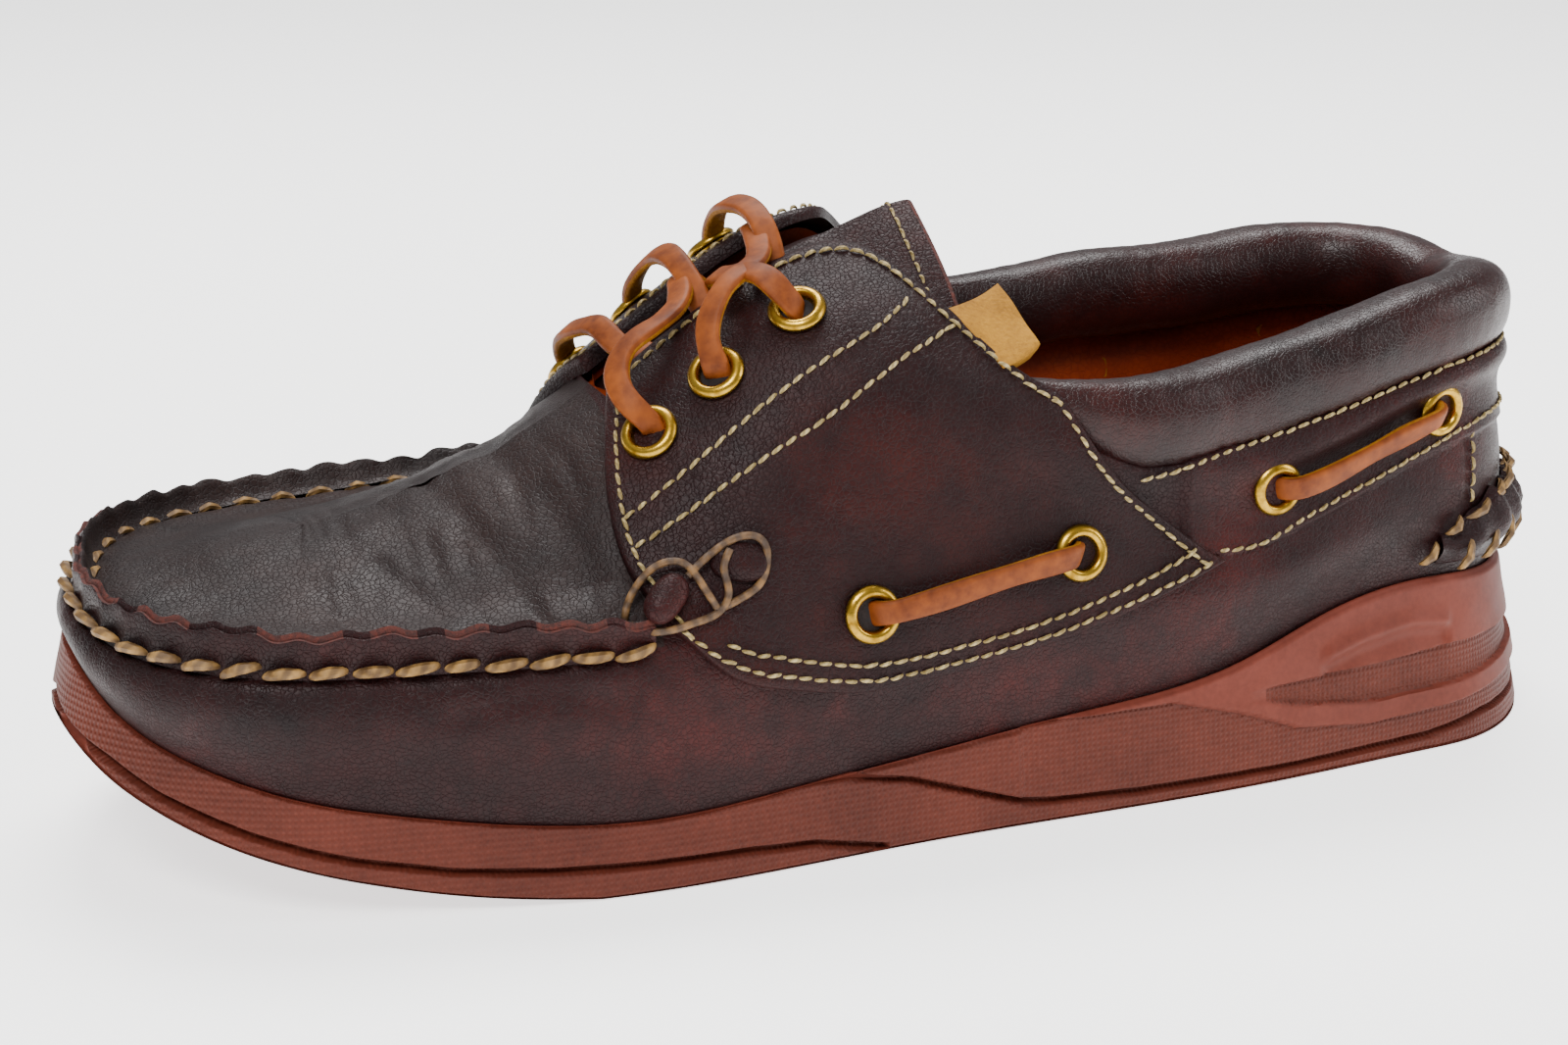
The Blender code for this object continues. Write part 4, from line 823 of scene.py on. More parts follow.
def upper_shell():
    along, side = loop_columns(LOOP_STATIONS)
    share = np.concatenate([np.linspace(0, SEAM_SHARE, 48), np.linspace(SEAM_SHARE, 1, 62)[1:]])
    top = shell_top(along)
    vamp = FOOT_LEVEL + (SEAM_LEVEL - FOOT_LEVEL) * share[None] / SEAM_SHARE
    rest = (share[None] - SEAM_SHARE) / (1 - SEAM_SHARE)
    level = np.where(share[None] <= SEAM_SHARE, vamp,
                     SEAM_LEVEL + (top[:, None] - SEAM_LEVEL) * rest)
    along, side = grid_of(along, side, len(share))
    base = last_surface(along, side, level)
    normal = last_normal(along, side, level)
    front = smooth(along, RIDGE_START - 0.01, RIDGE_START + 0.01)
    walk = along * SPAN
    below = np.clip((SEAM_LEVEL - level) / 0.13, 0, 1)
    pucker = np.cos(walk * 2 * np.pi / STITCH_PITCH) * np.exp(-below * 4.0) * (level <= SEAM_LEVEL)
    toe = smooth(along, 0.78, 0.92)
    off = PUCKER * pucker * front * (0.5 + 0.8 * toe)
    off -= SEAM_SINK * front * np.exp(-((level - SEAM_LEVEL + 0.012) / 0.02) ** 2)
    off += APRON_SWELL * front * np.exp(-((level - SEAM_LEVEL - 0.10) / 0.06) ** 2)
    off -= crease_depth(along, side, level)
    off += 0.28 * MM * noise(base, 38 * MM, 3) * smooth(level, 0.12, 0.25)
    off += 0.07 * MM * noise(base, 9 * MM, 5) * smooth(level, 0.12, 0.25)
    band = smooth(level, BAND_LOW - 0.008, BAND_LOW + 0.006) * (along < BAND_END + 0.02)
    off += STRAP_OUT * band
    seam = np.exp(-((along - BACK_SEAM_AT) * SPAN / (0.6 * MM)) ** 2) * smooth(level, 0.26, 0.30)
    off -= BACK_SEAM_DEPTH * seam * (1 - smooth(level, 0.44, 0.46))
    hem = np.interp(along, *np.array(PAD_FOOT).T)
    off -= PAD_SINK * smooth(level, hem + 0.004, hem + 0.03) * (1 - smooth(along, 0.43, 0.46))
    flex = np.stack([walk, level * 26 * MM * np.ones_like(walk), 0 * walk], -1)
    folds = np.clip(noise(flex, 5.5 * MM, 41), 0, 2) * smooth(along, 0.64, 0.66)
    folds *= (1 - smooth(along, 0.74, 0.86)) * smooth(level, SEAM_LEVEL + 0.02, SEAM_LEVEL + 0.1)
    off -= FOLD_DEPTH * folds
    points = base + normal * off[..., None]
    rows, columns = level.shape
    faces = grid_faces(rows, columns, wrap_rows=True, flip=True)
    mid = level[:, :-1]
    is_apron = (mid >= SEAM_LEVEL) & (along[:, :-1] > RIDGE_START - 0.012)
    uv = np.stack([walk, level * 0.12], -1)
    return make_mesh("upper_shell", points, faces, [VAMP, APRON], ("upper",), "dark_leather", uv,
                     is_apron.ravel().astype(int))


def lining_shell():
    along, side = loop_columns(LINING_STATIONS)
    top = shell_top(along)
    level = top[:, None] * np.linspace(0, 1, LINING_LEVELS)[None]
    along, side = grid_of(along, side, LINING_LEVELS)
    base = last_surface(along, side, level)
    normal = last_normal(along, side, np.clip(level, 0.06, 1))
    depth = WALL * (1 - 0.55 * smooth(level / top[:, None], 0.97, 1.0))
    points = base - normal * depth[..., None]
    faces = grid_faces(len(along), LINING_LEVELS, wrap_rows=True)
    uv = np.stack([along * SPAN, level * 0.12], -1)
    return make_mesh("lining_shell", points, faces, [LINING], (), "tan_lining", uv)


print("upper", len(upper_shell().data.polygons))
print("lining", len(lining_shell().data.polygons))

# %% [markdown]
# ## Moccasin seam
# The vamp's edge is turned up against the apron's and both are whipped by hand
# with waxed thread.  The lip stands about 5 mm high, its cut edge shows red,
# and each stitch pinches it, so it runs in small waves.


# %% Moccasin seam
def seam_loop(start, step):
    half = np.arange(start, 1, step / SPAN)
    along = np.concatenate([half, [1.0], half[::-1]])
    side = np.concatenate([np.full(len(half), LATERAL), np.full(len(half) + 1, MEDIAL)])
    return along, side


def seam_frame(along, side, level=SEAM_LEVEL):
    base = last_surface(along, side, level)
    normal = last_normal(along, side, level)
    up = last_surface(along, side, level + 0.01) - last_surface(along, side, level - 0.01)
    up /= np.linalg.norm(up, axis=-1, keepdims=True)
    return base, normal, up


# Section of the ridge: slide in mm, share of its height
RIDGE_PROFILE = [(-0.9, -0.15), (0.0, 0.10), (0.35, 0.45), (0.55, 0.75), (0.75, 0.93),
                 (1.05, 1.0), (1.45, 0.97), (1.75, 0.90), (2.05, 0.96), (2.60, 1.0),
                 (2.95, 0.93), (3.1, 0.72), (3.3, 0.40), (3.9, 0.12), (4.7, -0.15)]
TORN_EDGE = slice(5, 9)
APRON_FACE = slice(9, None)


def moccasin_ridge():
    along, side = seam_loop(RIDGE_START - 0.006, 0.45 * MM)
    base, normal, up = seam_frame(along, side)
    walk = np.cumsum(np.r_[0, np.linalg.norm(np.diff(base, axis=0), axis=1)])
    ends = smooth(np.minimum(walk, walk[-1] - walk), 0, 9 * MM)
    pinch = 0.5 + 0.5 * np.cos(walk * 2 * np.pi / STITCH_PITCH)
    high = RIDGE_HIGH * (0.45 + 0.55 * ends) + 0.55 * MM * pinch
    high = high + 0.45 * MM * noise(base, 13 * MM, 21)
    sway = 0.40 * MM * noise(base, 16 * MM, 8) + 0.55 * MM * pinch
    table = np.array(RIDGE_PROFILE)
    rise = table[:, 1][None] * high[:, None]
    slide = (table[:, 0][None] - 0.3) * MM + sway[:, None] * np.clip(table[:, 1], 0, 1)[None]
    lean = np.clip(table[:, 1], 0, 1)[None] * 2.0 * MM
    jag = 0.22 * MM * noise(np.stack([walk, np.ones_like(walk), np.zeros_like(walk)], -1),
                           3.1 * MM, 4)
    rise = rise + np.where((table[:, 1] > 0.88)[None], jag[:, None], 0)
    points = base[:, None] + normal[:, None] * (rise * 0.80)[..., None]
    points = points + up[:, None] * (slide + 0.25 * rise)[..., None]
    points[..., 2] += lean * 0.8
    faces = grid_faces(len(along), len(table), flip=True)
    which = np.zeros((len(along) - 1, len(table) - 1), int)
    which[:, APRON_FACE] = 1
    torn = noise(base[:-1], 8 * MM, 33) > -0.3
    which[:, TORN_EDGE] = np.where(torn, 2, 0)[:, None]
    first = list(range(len(table)))
    last = [(len(along) - 1) * len(table) + k for k in first]
    faces += [first[::-1], last]
    which = np.concatenate([which.ravel(), [0, 0]])
    uv = np.stack([np.repeat(walk[:, None], len(table), 1), rise], -1)
    return make_mesh("moccasin_ridge", points, faces, [VAMP, APRON, RED_EDGE], (), "dark_leather",
                     uv, which)


def seam_stitches():
    along, side = seam_loop(RIDGE_START + 0.004, 1.0 * MM)
    base, normal, up = seam_frame(along, side)
    out = base + normal * 1.0 * MM - up * 0.9 * MM
    sew_on("seam_stitches_outer", out, normal - 0.35 * up, STITCH_PITCH, HAND_LONG, HAND_THICK,
           HAND_THREAD, slant=0.16, slot="dark_leather", wobble=0.055, arch=0.9, seed=3)
    level = SEAM_LEVEL + 0.055
    base, normal, up = seam_frame(along, side, level)
    sew_on("seam_stitches_inner", base + normal * 0.5 * MM, normal, STITCH_PITCH,
           HAND_INNER_LONG, HAND_INNER_THICK, HAND_THREAD, slant=-0.14, slot="dark_leather",
           wobble=0.10, arch=0.8, seed=5)


moccasin_ridge()
seam_stitches()

# %% [markdown]
# ## Eyestay and quarter panel
# One piece of hide carries the throat eyelets, runs back over the quarter and
# ends above the strap.  It lies on top of the upper with a closed row of
# machine stitches just inside its edge and two rows across it.


# %% Eyestay panels
def stay_place(across, up):
    places = np.linspace(0, 1, len(STAY))
    value = spline_weights(places, across) @ np.array(STAY)
    along = value[..., 0] + (value[..., 2] - value[..., 0]) * up
    level = value[..., 1] + (value[..., 3] - value[..., 1]) * up
    bow = STAY_BOW * np.sin(np.pi * up) * np.maximum(0.0, 1 - 4 * across)
    return along + bow, level


PANEL_TOP = PANEL_SEAT + PANEL_THICK


def swell(along, level, base):
    return 0.25 * MM * noise(base, 33 * MM, 14) + 0.06 * MM * noise(base, 8 * MM, 15)


# Rows of stitches on the panel: share across, share up
STAY_ROWS = {
    "edge": [(0.035, 0.03), (0.025, 0.30), (0.022, 0.60), (0.030, 0.90), (0.06, 0.955),
             (0.20, 0.965), (0.40, 0.968), (0.56, 0.955), (0.66, 0.94), (0.80, 0.94),
             (0.955, 0.945)],
    "rear": [(0.955, 0.945), (0.965, 0.70), (0.968, 0.40), (0.965, 0.06)],
    "foot": [(0.965, 0.045), (0.84, 0.045), (0.66, 0.045), (0.46, 0.045), (0.26, 0.045),
             (0.11, 0.045), (0.035, 0.03)],
    "foot_inner": [(0.965, 0.15), (0.84, 0.125), (0.66, 0.105), (0.46, 0.095), (0.26, 0.095),
                   (0.14, 0.105)],
}
# The two rows from the front edge up to the rear of the throat: along, level
STAY_CROSS = {"high": [(0.647, 0.690), (0.600, 0.722), (0.533, 0.783), (0.498, 0.850)],
              "low": [(0.645, 0.640), (0.585, 0.675), (0.536, 0.713), (0.479, 0.826)]}


def machine_row(name, line, side, height):
    return sew(name, line, side, MACHINE_PITCH, MACHINE_LONG, MACHINE_THICK, FINE_THREAD, height,
               slant=0.12, slot="dark_leather", arch=0.5)


def eyestay(side, word):
    panel(f"eyestay_{word}_hide", stay_place, side, PANEL_TOP - 0.2 * MM, [QUARTER, RED_EDGE],
          nu=90, nv=80, round_off=1.0 * MM, width=(0.10, 0.055), bump=swell, edge_index=0,
          replaces=(f"eyestay_{word}",), slot="dark_leather")
    for name, rows in STAY_ROWS.items():
        shares = soften(rows, 60)
        along, level = stay_place(shares[:, 0], shares[:, 1])
        machine_row(f"panel_{name}_{word}", np.stack([along, level], -1), side, PANEL_TOP)
    for name, rows in STAY_CROSS.items():
        machine_row(f"panel_{name}_{word}", soften(rows, 50), side, PANEL_TOP)


for side, word in SIDES:
    eyestay(side, word)

# %% [markdown]
# ## Strap, heel and collar
# The strap wraps the heel between two rows of machine stitches.  The collar is
# a foam roll covered in a thinner hide, so it is rounder and glossier, and it
# has fine wrinkles where it turns round the heel.

# %% Strap stitches
BAND_TOP = [(0.378, 0.688), (0.332, 0.762), (0.281, 0.785), (0.232, 0.785), (0.192, 0.785),
            (0.160, 0.785), (0.08, 0.785), (0.0, 0.785)]
BAND_FOOT = [(0.332, 0.460), (0.307, 0.452), (0.272, 0.478), (0.232, 0.472), (0.195, 0.472),
             (0.163, 0.485), (0.08, 0.50), (0.0, 0.505)]
BACK_SEAM = [(0.158, 0.46), (0.159, 0.38), (0.160, 0.30)]
STRAP_TOP = 0.95 * MM
for side, word in SIDES:
    for name, rows in (("top", BAND_TOP), ("foot", BAND_FOOT)):
        machine_row(f"strap_{name}_{word}", soften(rows, 70), side, STRAP_TOP)
    sew(f"back_seam_{word}", soften(BACK_SEAM, 20), side, MACHINE_PITCH, MACHINE_LONG,
        FINE_THICK, FINE_THREAD, 0.2 * MM, slot="dark_leather", arch=0.5)

# %% Padded collar
Pad = namedtuple("Pad", "along rise out deep")
# Top of the padding over the wall's edge, how far it stands out and in, in mm
PADS = [Pad(0.00, 13.7, 1.7, 12.0), Pad(0.10, 14.5, 2.0, 12.5), Pad(0.20, 15.8, 2.2, 12.5),
        Pad(0.25, 15.4, 2.2, 12.5), Pad(0.30, 14.9, 2.0, 12.0), Pad(0.35, 12.0, 1.7, 10.5),
        Pad(0.40, 7.4, 1.0, 8.0), Pad(0.44, 3.2, -1.6, 5.5), Pad(0.465, 1.0, -3.2, 4.0)]
PAD_STATIONS = 190
PAD_SIDES = 56
GATHER = 3.0 * MM


def collar_padding():
    half = np.linspace(0, PADS[-1].along, PAD_STATIONS)
    along = np.concatenate([half[::-1], half[1:]])
    side = np.concatenate([np.full(PAD_STATIONS, LATERAL), np.full(PAD_STATIONS - 1, MEDIAL)])
    out, up = rings(along, side)
    edge = spline_weights(LEVELS, straight(TOP_EDGE, along))
    foot = spline_weights(LEVELS, np.interp(along, *np.array(PAD_FOOT).T))
    table = np.array(PADS)
    rise, stand, deep = (curve(np.stack([table[:, 0], table[:, i]], 1), along) * MM
                         for i in (1, 2, 3))
    low = (foot * up).sum(-1) - 1.3 * MM
    high = (edge * up).sum(-1) + rise
    outer = (foot * out).sum(-1) + stand
    inner = (edge * out).sum(-1) - deep
    middle = (outer + inner) / 2
    centre = place(along, side, middle, (low + high) / 2)
    outward = place(along, side, middle + MM, (low + high) / 2) - centre
    outward /= np.linalg.norm(outward, axis=1, keepdims=True)
    walk = np.cumsum(np.r_[0, np.linalg.norm(np.diff(centre, axis=0), axis=1)])
    turn = np.arange(PAD_SIDES) / PAD_SIDES * 2 * np.pi
    c = np.sign(np.cos(turn)) * np.abs(np.cos(turn)) ** 0.86
    s = np.sign(np.sin(turn)) * np.abs(np.sin(turn)) ** 0.86
    below = np.clip(-np.sin(turn), 0, 1) ** 2
    gather = 0.14 * MM * np.sin(walk * 2 * np.pi / GATHER)[:, None] * below[None]
    wide = ((outer - inner) / 2)[:, None] + gather
    tall = ((high - low) / 2)[:, None]
    points = centre[:, None] + outward[:, None] * (c[None] * wide)[..., None]
    points[..., 2] += s[None] * tall
    bulge = 0.22 * MM * noise(points, 26 * MM, 6) + 0.05 * MM * noise(points, 6 * MM, 16)
    points += outward[:, None] * (c[None] * bulge)[..., None]
    points[..., 2] += s[None] * bulge
    faces = grid_faces(len(along), PAD_SIDES, wrap_columns=True, flip=True)
    faces.append(list(range(PAD_SIDES)))
    faces.append([(len(along) - 1) * PAD_SIDES + k for k in range(PAD_SIDES)][::-1])
    uv = np.stack([np.repeat(walk[:, None], PAD_SIDES, 1),
                   np.repeat(turn[None] * 9 * MM, len(along), 0)], -1)
    piece = make_mesh("collar_padding", points, faces, [COLLAR], ("collar_roll",),
                      "dark_leather", uv)


collar_padding()

# %% Heel flap and its hand stitches
FLAP_END = 0.185
FLAP_FOOT = 0.125
FLAP_TOP = 0.295
FLAP_DROP = 0.085
FLAP_STATIONS = 70
# Section of the flap: share of its height, lift in mm
FLAP_PROFILE = [(0, 0.1), (0.02, 0.9), (0.08, 1.5), (0.2, 2.4), (0.35, 3.6), (0.5, 4.4),
                (0.62, 4.6), (0.74, 4.0), (0.84, 3.0), (0.92, 2.2), (0.97, 1.4), (1.0, 0.1)]
LOBE = 9.5 * MM
HEEL_EDGE = [(0.192, 0.165), (0.185, 0.205), (0.172, 0.245), (0.150, 0.275), (0.125, 0.300),
             (0.09, 0.310), (0.045, 0.312), (0.0, 0.312)]
HEEL_BARS = [(0.170, 0.165), (0.150, 0.185), (0.10, 0.20)]


def heel_flap():
    half = np.linspace(0, FLAP_END, FLAP_STATIONS)
    along = np.concatenate([half[::-1], half[1:]])
    side = np.concatenate([np.full(FLAP_STATIONS, LATERAL), np.full(FLAP_STATIONS - 1, MEDIAL)])
    end = smooth(FLAP_END - along, -0.002, 0.035)
    high = FLAP_TOP - FLAP_DROP * (1 - smooth(FLAP_END - along, 0.0, 0.045))
    wave = np.cos(along * SPAN / LOBE * 2 * np.pi)
    share, lift = np.array(FLAP_PROFILE).T
    level = FLAP_FOOT + (high + 0.010 * wave - FLAP_FOOT)[:, None] * share[None]
    off = (lift * MM)[None] * (0.45 + 0.55 * end[:, None])
    fold = 0.6 * MM * wave[:, None] * np.sin(share * np.pi)
    wide_along, wide_side = grid_of(along, side, len(share))
    points = on_last(wide_along, wide_side, level, off + fold + 0.2 * MM)
    faces = grid_faces(len(along), len(share), flip=True)
    return make_mesh("heel_flap", points, faces, [VAMP], ("heel_kicker",), "dark_leather",
                     np.stack([wide_along * SPAN, level * 0.12], -1))


heel_flap()
for side, word in SIDES:
    sew(f"heel_sewing_{word}", soften(HEEL_EDGE, 40), side, HEEL_PITCH, HEEL_LONG, HEEL_THICK,
        HAND_THREAD, 1.6 * MM, slant=0.25, slot="dark_leather", wobble=0.12, arch=0.9, seed=9)
    sew(f"heel_bars_{word}", soften(HEEL_BARS, 12), side, 9.0 * MM, 7.0 * MM, HEEL_THICK,
        HAND_THREAD, 4.2 * MM, slant=1.25, slot="dark_leather", wobble=0.12, arch=0.9, seed=10)

# %% [markdown]
# ## Knot that locks the seam
# The two threads come out at the end of the seam, cross a leather bead and a
# small folded lump of hide, and go back through the panel.


# %% Seam knots
BLOB_GRID = (18, 26)
BEAD_AT = (0.641, 0.512)
BEAD_SIZE = (9.5 * MM, 6.2 * MM, 5.0 * MM)
LUMP_AT = (0.602, 0.556)
LUMP_SIZE = (10.5 * MM, 7.5 * MM, 3.4 * MM)


def blob(name, side, centre, size, turn_by, material, lift, replaces=()):
    """Small pressed lump of hide on the last, turned in its surface."""
    rows, columns = BLOB_GRID
    theta = np.linspace(0.02, np.pi - 0.02, rows)[:, None]
    phi = np.arange(columns)[None] / columns * 2 * np.pi
    x = np.sign(np.cos(theta)) * np.abs(np.cos(theta)) ** 0.8 + 0 * phi
    y = np.sin(theta) ** 0.8 * np.cos(phi)
    z = np.sin(theta) ** 0.8 * np.sin(phi)
    base = on_last(centre[0], side, centre[1], lift)
    normal = last_normal(centre[0], side, centre[1])
    way = (last_surface(centre[0] + 0.004, side, centre[1])
           - last_surface(centre[0] - 0.004, side, centre[1]))
    way /= np.linalg.norm(way)
    across = np.cross(normal, way)
    if across[2] < 0:
        across = -across
    first = way * math.cos(turn_by) + across * math.sin(turn_by)
    second = -way * math.sin(turn_by) + across * math.cos(turn_by)
    points = (base + first * x[..., None] * size[0] / 2 + second * y[..., None] * size[1] / 2
              + normal * z[..., None] * size[2] / 2)
    points = points + normal * (0.15 * MM * noise(points, 4 * MM, 31))[..., None]
    faces = grid_faces(rows, columns, wrap_columns=True)
    faces.append(list(range(columns))[::-1])
    faces.append([(rows - 1) * columns + k for k in range(columns)])
    return make_mesh(name, points, faces, [material], replaces, "dark_leather")


def strand_frame(centre, up):
    """Directions across and above a strand that runs through the centres."""
    way = np.gradient(centre, axis=0)
    way /= np.linalg.norm(way, axis=1, keepdims=True)
    across = np.cross(up, way)
    across /= np.linalg.norm(across, axis=1, keepdims=True)
    return across, np.cross(way, across)


def yarn(name, side, rows):
    line = soften(rows, 40)
    centre = on_last(line[:, 0], side, line[:, 1], line[:, 2] * MM)
    across, up = strand_frame(centre, last_normal(line[:, 0], side, line[:, 1]))
    return tube(name, centre, across, up, KNOT_THICK, KNOT_THICK, [KNOT_THREAD], sides=10,
                power=2.0, slot="dark_leather")


# Threads of a knot: rows of along, level and lift in mm
KNOT_THREADS = {
    "loop": [(0.662, 0.49, 0.8), (0.657, 0.535, 2.6), (0.645, 0.575, 4.6), (0.633, 0.582, 5.0),
             (0.626, 0.562, 4.8), (0.622, 0.52, 4.6), (0.617, 0.478, 3.2)],
    "upper": [(0.628, 0.550, 4.2), (0.618, 0.572, 4.6), (0.605, 0.588, 4.6), (0.594, 0.584, 4.4),
              (0.589, 0.560, 4.0), (0.592, 0.522, 3.4), (0.600, 0.500, 3.4), (0.614, 0.482, 3.4)],
    "lower": [(0.652, 0.452, 1.4), (0.642, 0.448, 3.2), (0.630, 0.458, 3.6), (0.618, 0.472, 3.4),
              (0.611, 0.505, 4.2), (0.611, 0.545, 5.0), (0.606, 0.575, 5.0)],
}
for side, word in SIDES:
    blob(f"knot_bead_{word}", side, BEAD_AT, BEAD_SIZE, -0.75, VAMP, 4.0 * MM,
         (f"seam_knot_{word}",))
    blob(f"knot_lump_{word}", side, LUMP_AT, LUMP_SIZE, 0.45, QUARTER, 3.0 * MM)
    for name, rows in KNOT_THREADS.items():
        yarn(f"knot_{name}_{word}", side, rows)

# %% [markdown]
# ## Tongue and tab
# The tongue is one hide with a cut edge, stitched just inside it.  A small tab
# of undyed hide stands between it and the panel's rear corner, on the outside.


# %% Tongue
TONGUE_FRONT = 0.655
TONGUE_REAR = 0.455
TONGUE_CURL = 6.2 * MM
TONGUE_SUNK = 1.6 * MM
TONGUE_THICK = 3.0 * MM
TONGUE_ROUND = 0.9 * MM


def tongue_place(share, across):
    """Rows of the tongue: share 0 front to 1 rear, across -1 lateral to 1 medial."""
    side = np.where(across < 0, LATERAL, MEDIAL)
    far = np.abs(across)
    end = TONGUE_REAR + 0.007 * (1 - far ** 2)
    along = TONGUE_FRONT + (end - TONGUE_FRONT) * share
    level = 1 - (0.19 - 0.03 * share) * far
    begin = 0.72 + 0.22 * far
    lift = TONGUE_CURL * (1 - far ** 2) * np.clip((share - begin) / (1 - begin), 0, 1) ** 1.4
    lift = lift * (1 - 0.16 * smooth(share, 0.86, 1.0))
    crown = last_surface(along, side, 1.0)
    flank = last_surface(along, side, level)
    normal = last_normal(along, side, np.maximum(level, 0.0))
    up = np.array((0.0, 0.0, 1.0))
    near = np.clip(far / 0.25, 0, 1)[..., None]
    way = normal * near + up * (1 - near)
    way /= np.linalg.norm(way, axis=-1, keepdims=True)
    base = np.where(far[..., None] < 1e-6, crown, flank)
    return base + way * (lift - WALL - TONGUE_SUNK)[..., None], way


def tongue_row(name, share, across):
    spot, way = tongue_place(share, across)
    sew_on(f"tongue_{name}", spot, way, MACHINE_PITCH, MACHINE_LONG, FINE_THICK, FINE_THREAD,
           slot="dark_leather", arch=0.6)


def tongue():
    share = np.concatenate([np.linspace(0, 0.97, 60), [0.985, 0.995, 1.0]])
    across = np.concatenate([[-1, -0.99, -0.97], np.linspace(-0.94, 0.94, 61), [0.97, 0.99, 1]])
    s, a = np.meshgrid(share, across, indexing="ij")
    top, way = tongue_place(s, a)
    edge = np.minimum(np.clip((1 - s) / 0.02, 0, 1), np.clip((1 - np.abs(a)) / 0.05, 0, 1))
    thin = TONGUE_ROUND * (1 - np.sqrt(np.clip(edge, 0, 1)))
    high = top - way * thin[..., None] + way * (0.25 * MM * noise(top, 22 * MM, 17))[..., None]
    low = top - way * (TONGUE_THICK - thin)[..., None]
    rows, columns = s.shape
    faces = grid_faces(rows, columns)
    faces += grid_faces(rows, columns, flip=True, start=rows * columns)
    border = grid_border(rows, columns)
    n = rows * columns
    for i, j in zip(border, border[1:] + border[:1]):
        faces.append([j, i, i + n, j + n])
    quads = (rows - 1) * (columns - 1)
    which = np.zeros(len(faces), int)
    which[quads:] = 1
    which[:quads] = (edge[1:, 1:] < 0.55).ravel()
    uv = np.concatenate([np.stack([s * 0.06, a * 0.03], -1).reshape(-1, 2)] * 2)
    make_mesh("tongue_hide", np.concatenate([high.reshape(-1, 3), low.reshape(-1, 3)]), faces,
              [QUARTER, RED_EDGE], ("tongue",), "dark_leather", uv, which)
    tongue_row("rear", np.full(60, 0.93), np.linspace(-0.86, 0.86, 60))
    for end, word in ((-0.87, "lateral"), (0.87, "medial")):
        tongue_row(f"side_{word}", np.linspace(0.55, 0.93, 30), np.full(30, end))


tongue()

# Corners of the tab: along, level
TAB_CORNERS = ((0.478, 0.856), (0.455, 0.795), (0.432, 0.845), (0.440, 0.912))


def side_tab():
    corners = np.array(TAB_CORNERS)

    def where(u, v):
        first = corners[0] * (1 - v[..., None]) + corners[1] * v[..., None]
        last = corners[3] * (1 - v[..., None]) + corners[2] * v[..., None]
        spot = first * (1 - u[..., None]) + last * u[..., None]
        return spot[..., 0], spot[..., 1]

    def raise_end(along, level, base):
        return 2.6 * MM * smooth(0.455 - along, 0.0, 0.03) + 0.25 * MM * noise(base, 11 * MM, 3)

    panel("side_tab_hide", where, LATERAL, 2.0 * MM, [TAB], nu=24, nv=20, lift=0.3 * MM,
          round_off=0.6 * MM, width=(0.014, 0.013), bump=raise_end, replaces=("side_tab",),
          slot="undyed_leather")


side_tab()

# %% [markdown]
# ## Eyelets
# Turned brass, set through the panel and rolled over.  The laces of rawhide
# come up through them, which keeps the inner rim bright and the outer dull.


# %% Eyelets
# Section of the brass in mm: from the axis, above the hide
EYELET_PROFILE = [(2.95, -3.0), (2.95, 0.0), (3.0, 0.7), (3.25, 1.25), (3.75, 1.55), (4.3, 1.5),
                  (4.8, 1.2), (5.15, 0.75), (5.25, 0.3), (5.1, 0.0), (3.9, -0.2), (3.6, -3.0)]
EYELET_SIDES = 48
BARREL_ON_PANEL = 3.0 * MM
BARREL_ON_STRAP = 1.2 * MM
# Radius, sides and sink of the disc of painted shade in each eyelet
SHADE_DISC_RADIUS = 3.0 * MM
SHADE_DISC_SIDES = 24
SHADE_DISC_SUNK = 0.2 * MM


def eyelet_ring(row, side, count):
    """Centre, normal and unit ring of an eyelet on the panel or the strap."""
    centre = on_last(row.along, side, row.level, PANEL_TOP if row.on_panel else STRAP_OUT)
    normal = last_normal(row.along, side, row.level)
    first = np.cross(normal, (0.0, 0.0, 1.0))
    first /= np.linalg.norm(first)
    turn = np.arange(count) / count * 2 * np.pi
    ring = first * np.cos(turn)[:, None] + np.cross(normal, first) * np.sin(turn)[:, None]
    return centre, normal, ring


def eyelet(row, side, word):
    table = np.array(EYELET_PROFILE) * MM
    centre, normal, ring = eyelet_ring(row, side, EYELET_SIDES)
    depth = np.maximum(table[:, 1:], -(BARREL_ON_PANEL if row.on_panel else BARREL_ON_STRAP))
    points = centre + ring[:, None] * table[None, :, :1] + normal * depth[None]
    faces = grid_faces(EYELET_SIDES, len(table), wrap_rows=True, wrap_columns=True)
    make_mesh(f"brass_{word}_{row.name}", points, faces, [BRASS], (f"eyelet_{word}_{row.name}",),
              "brass")


# Painted shade: a dark disc under each eyelet's flange stands in for the shadow inside the hole.
def eyelet_shade_disc(row, side, word):
    """Painted shade inside an eyelet: a dark disc just under the flange."""
    centre, normal, ring = eyelet_ring(row, side, SHADE_DISC_SIDES)
    make_mesh(f"hole_{word}_{row.name}", centre + ring * SHADE_DISC_RADIUS - normal * SHADE_DISC_SUNK,
              [list(range(SHADE_DISC_SIDES))], [EYELET_SHADE_PAINT], (), "dark_leather")


for make in (eyelet, eyelet_shade_disc):
    for side, word in SIDES:
        for row in EYELETS:
            make(row, side, word)

# %% [markdown]
# ## Laces
# Flat rawhide about 4.5 by 2 mm, smooth on one face and suede on the other.
# At the throat each end rises out of an eyelet, arches forward over the
# panel's edge and tucks under the other panel.  The side lace shows as bars.


# %% Laces
LACE_WIDE = 4.6 * MM
LACE_THICK = 2.1 * MM


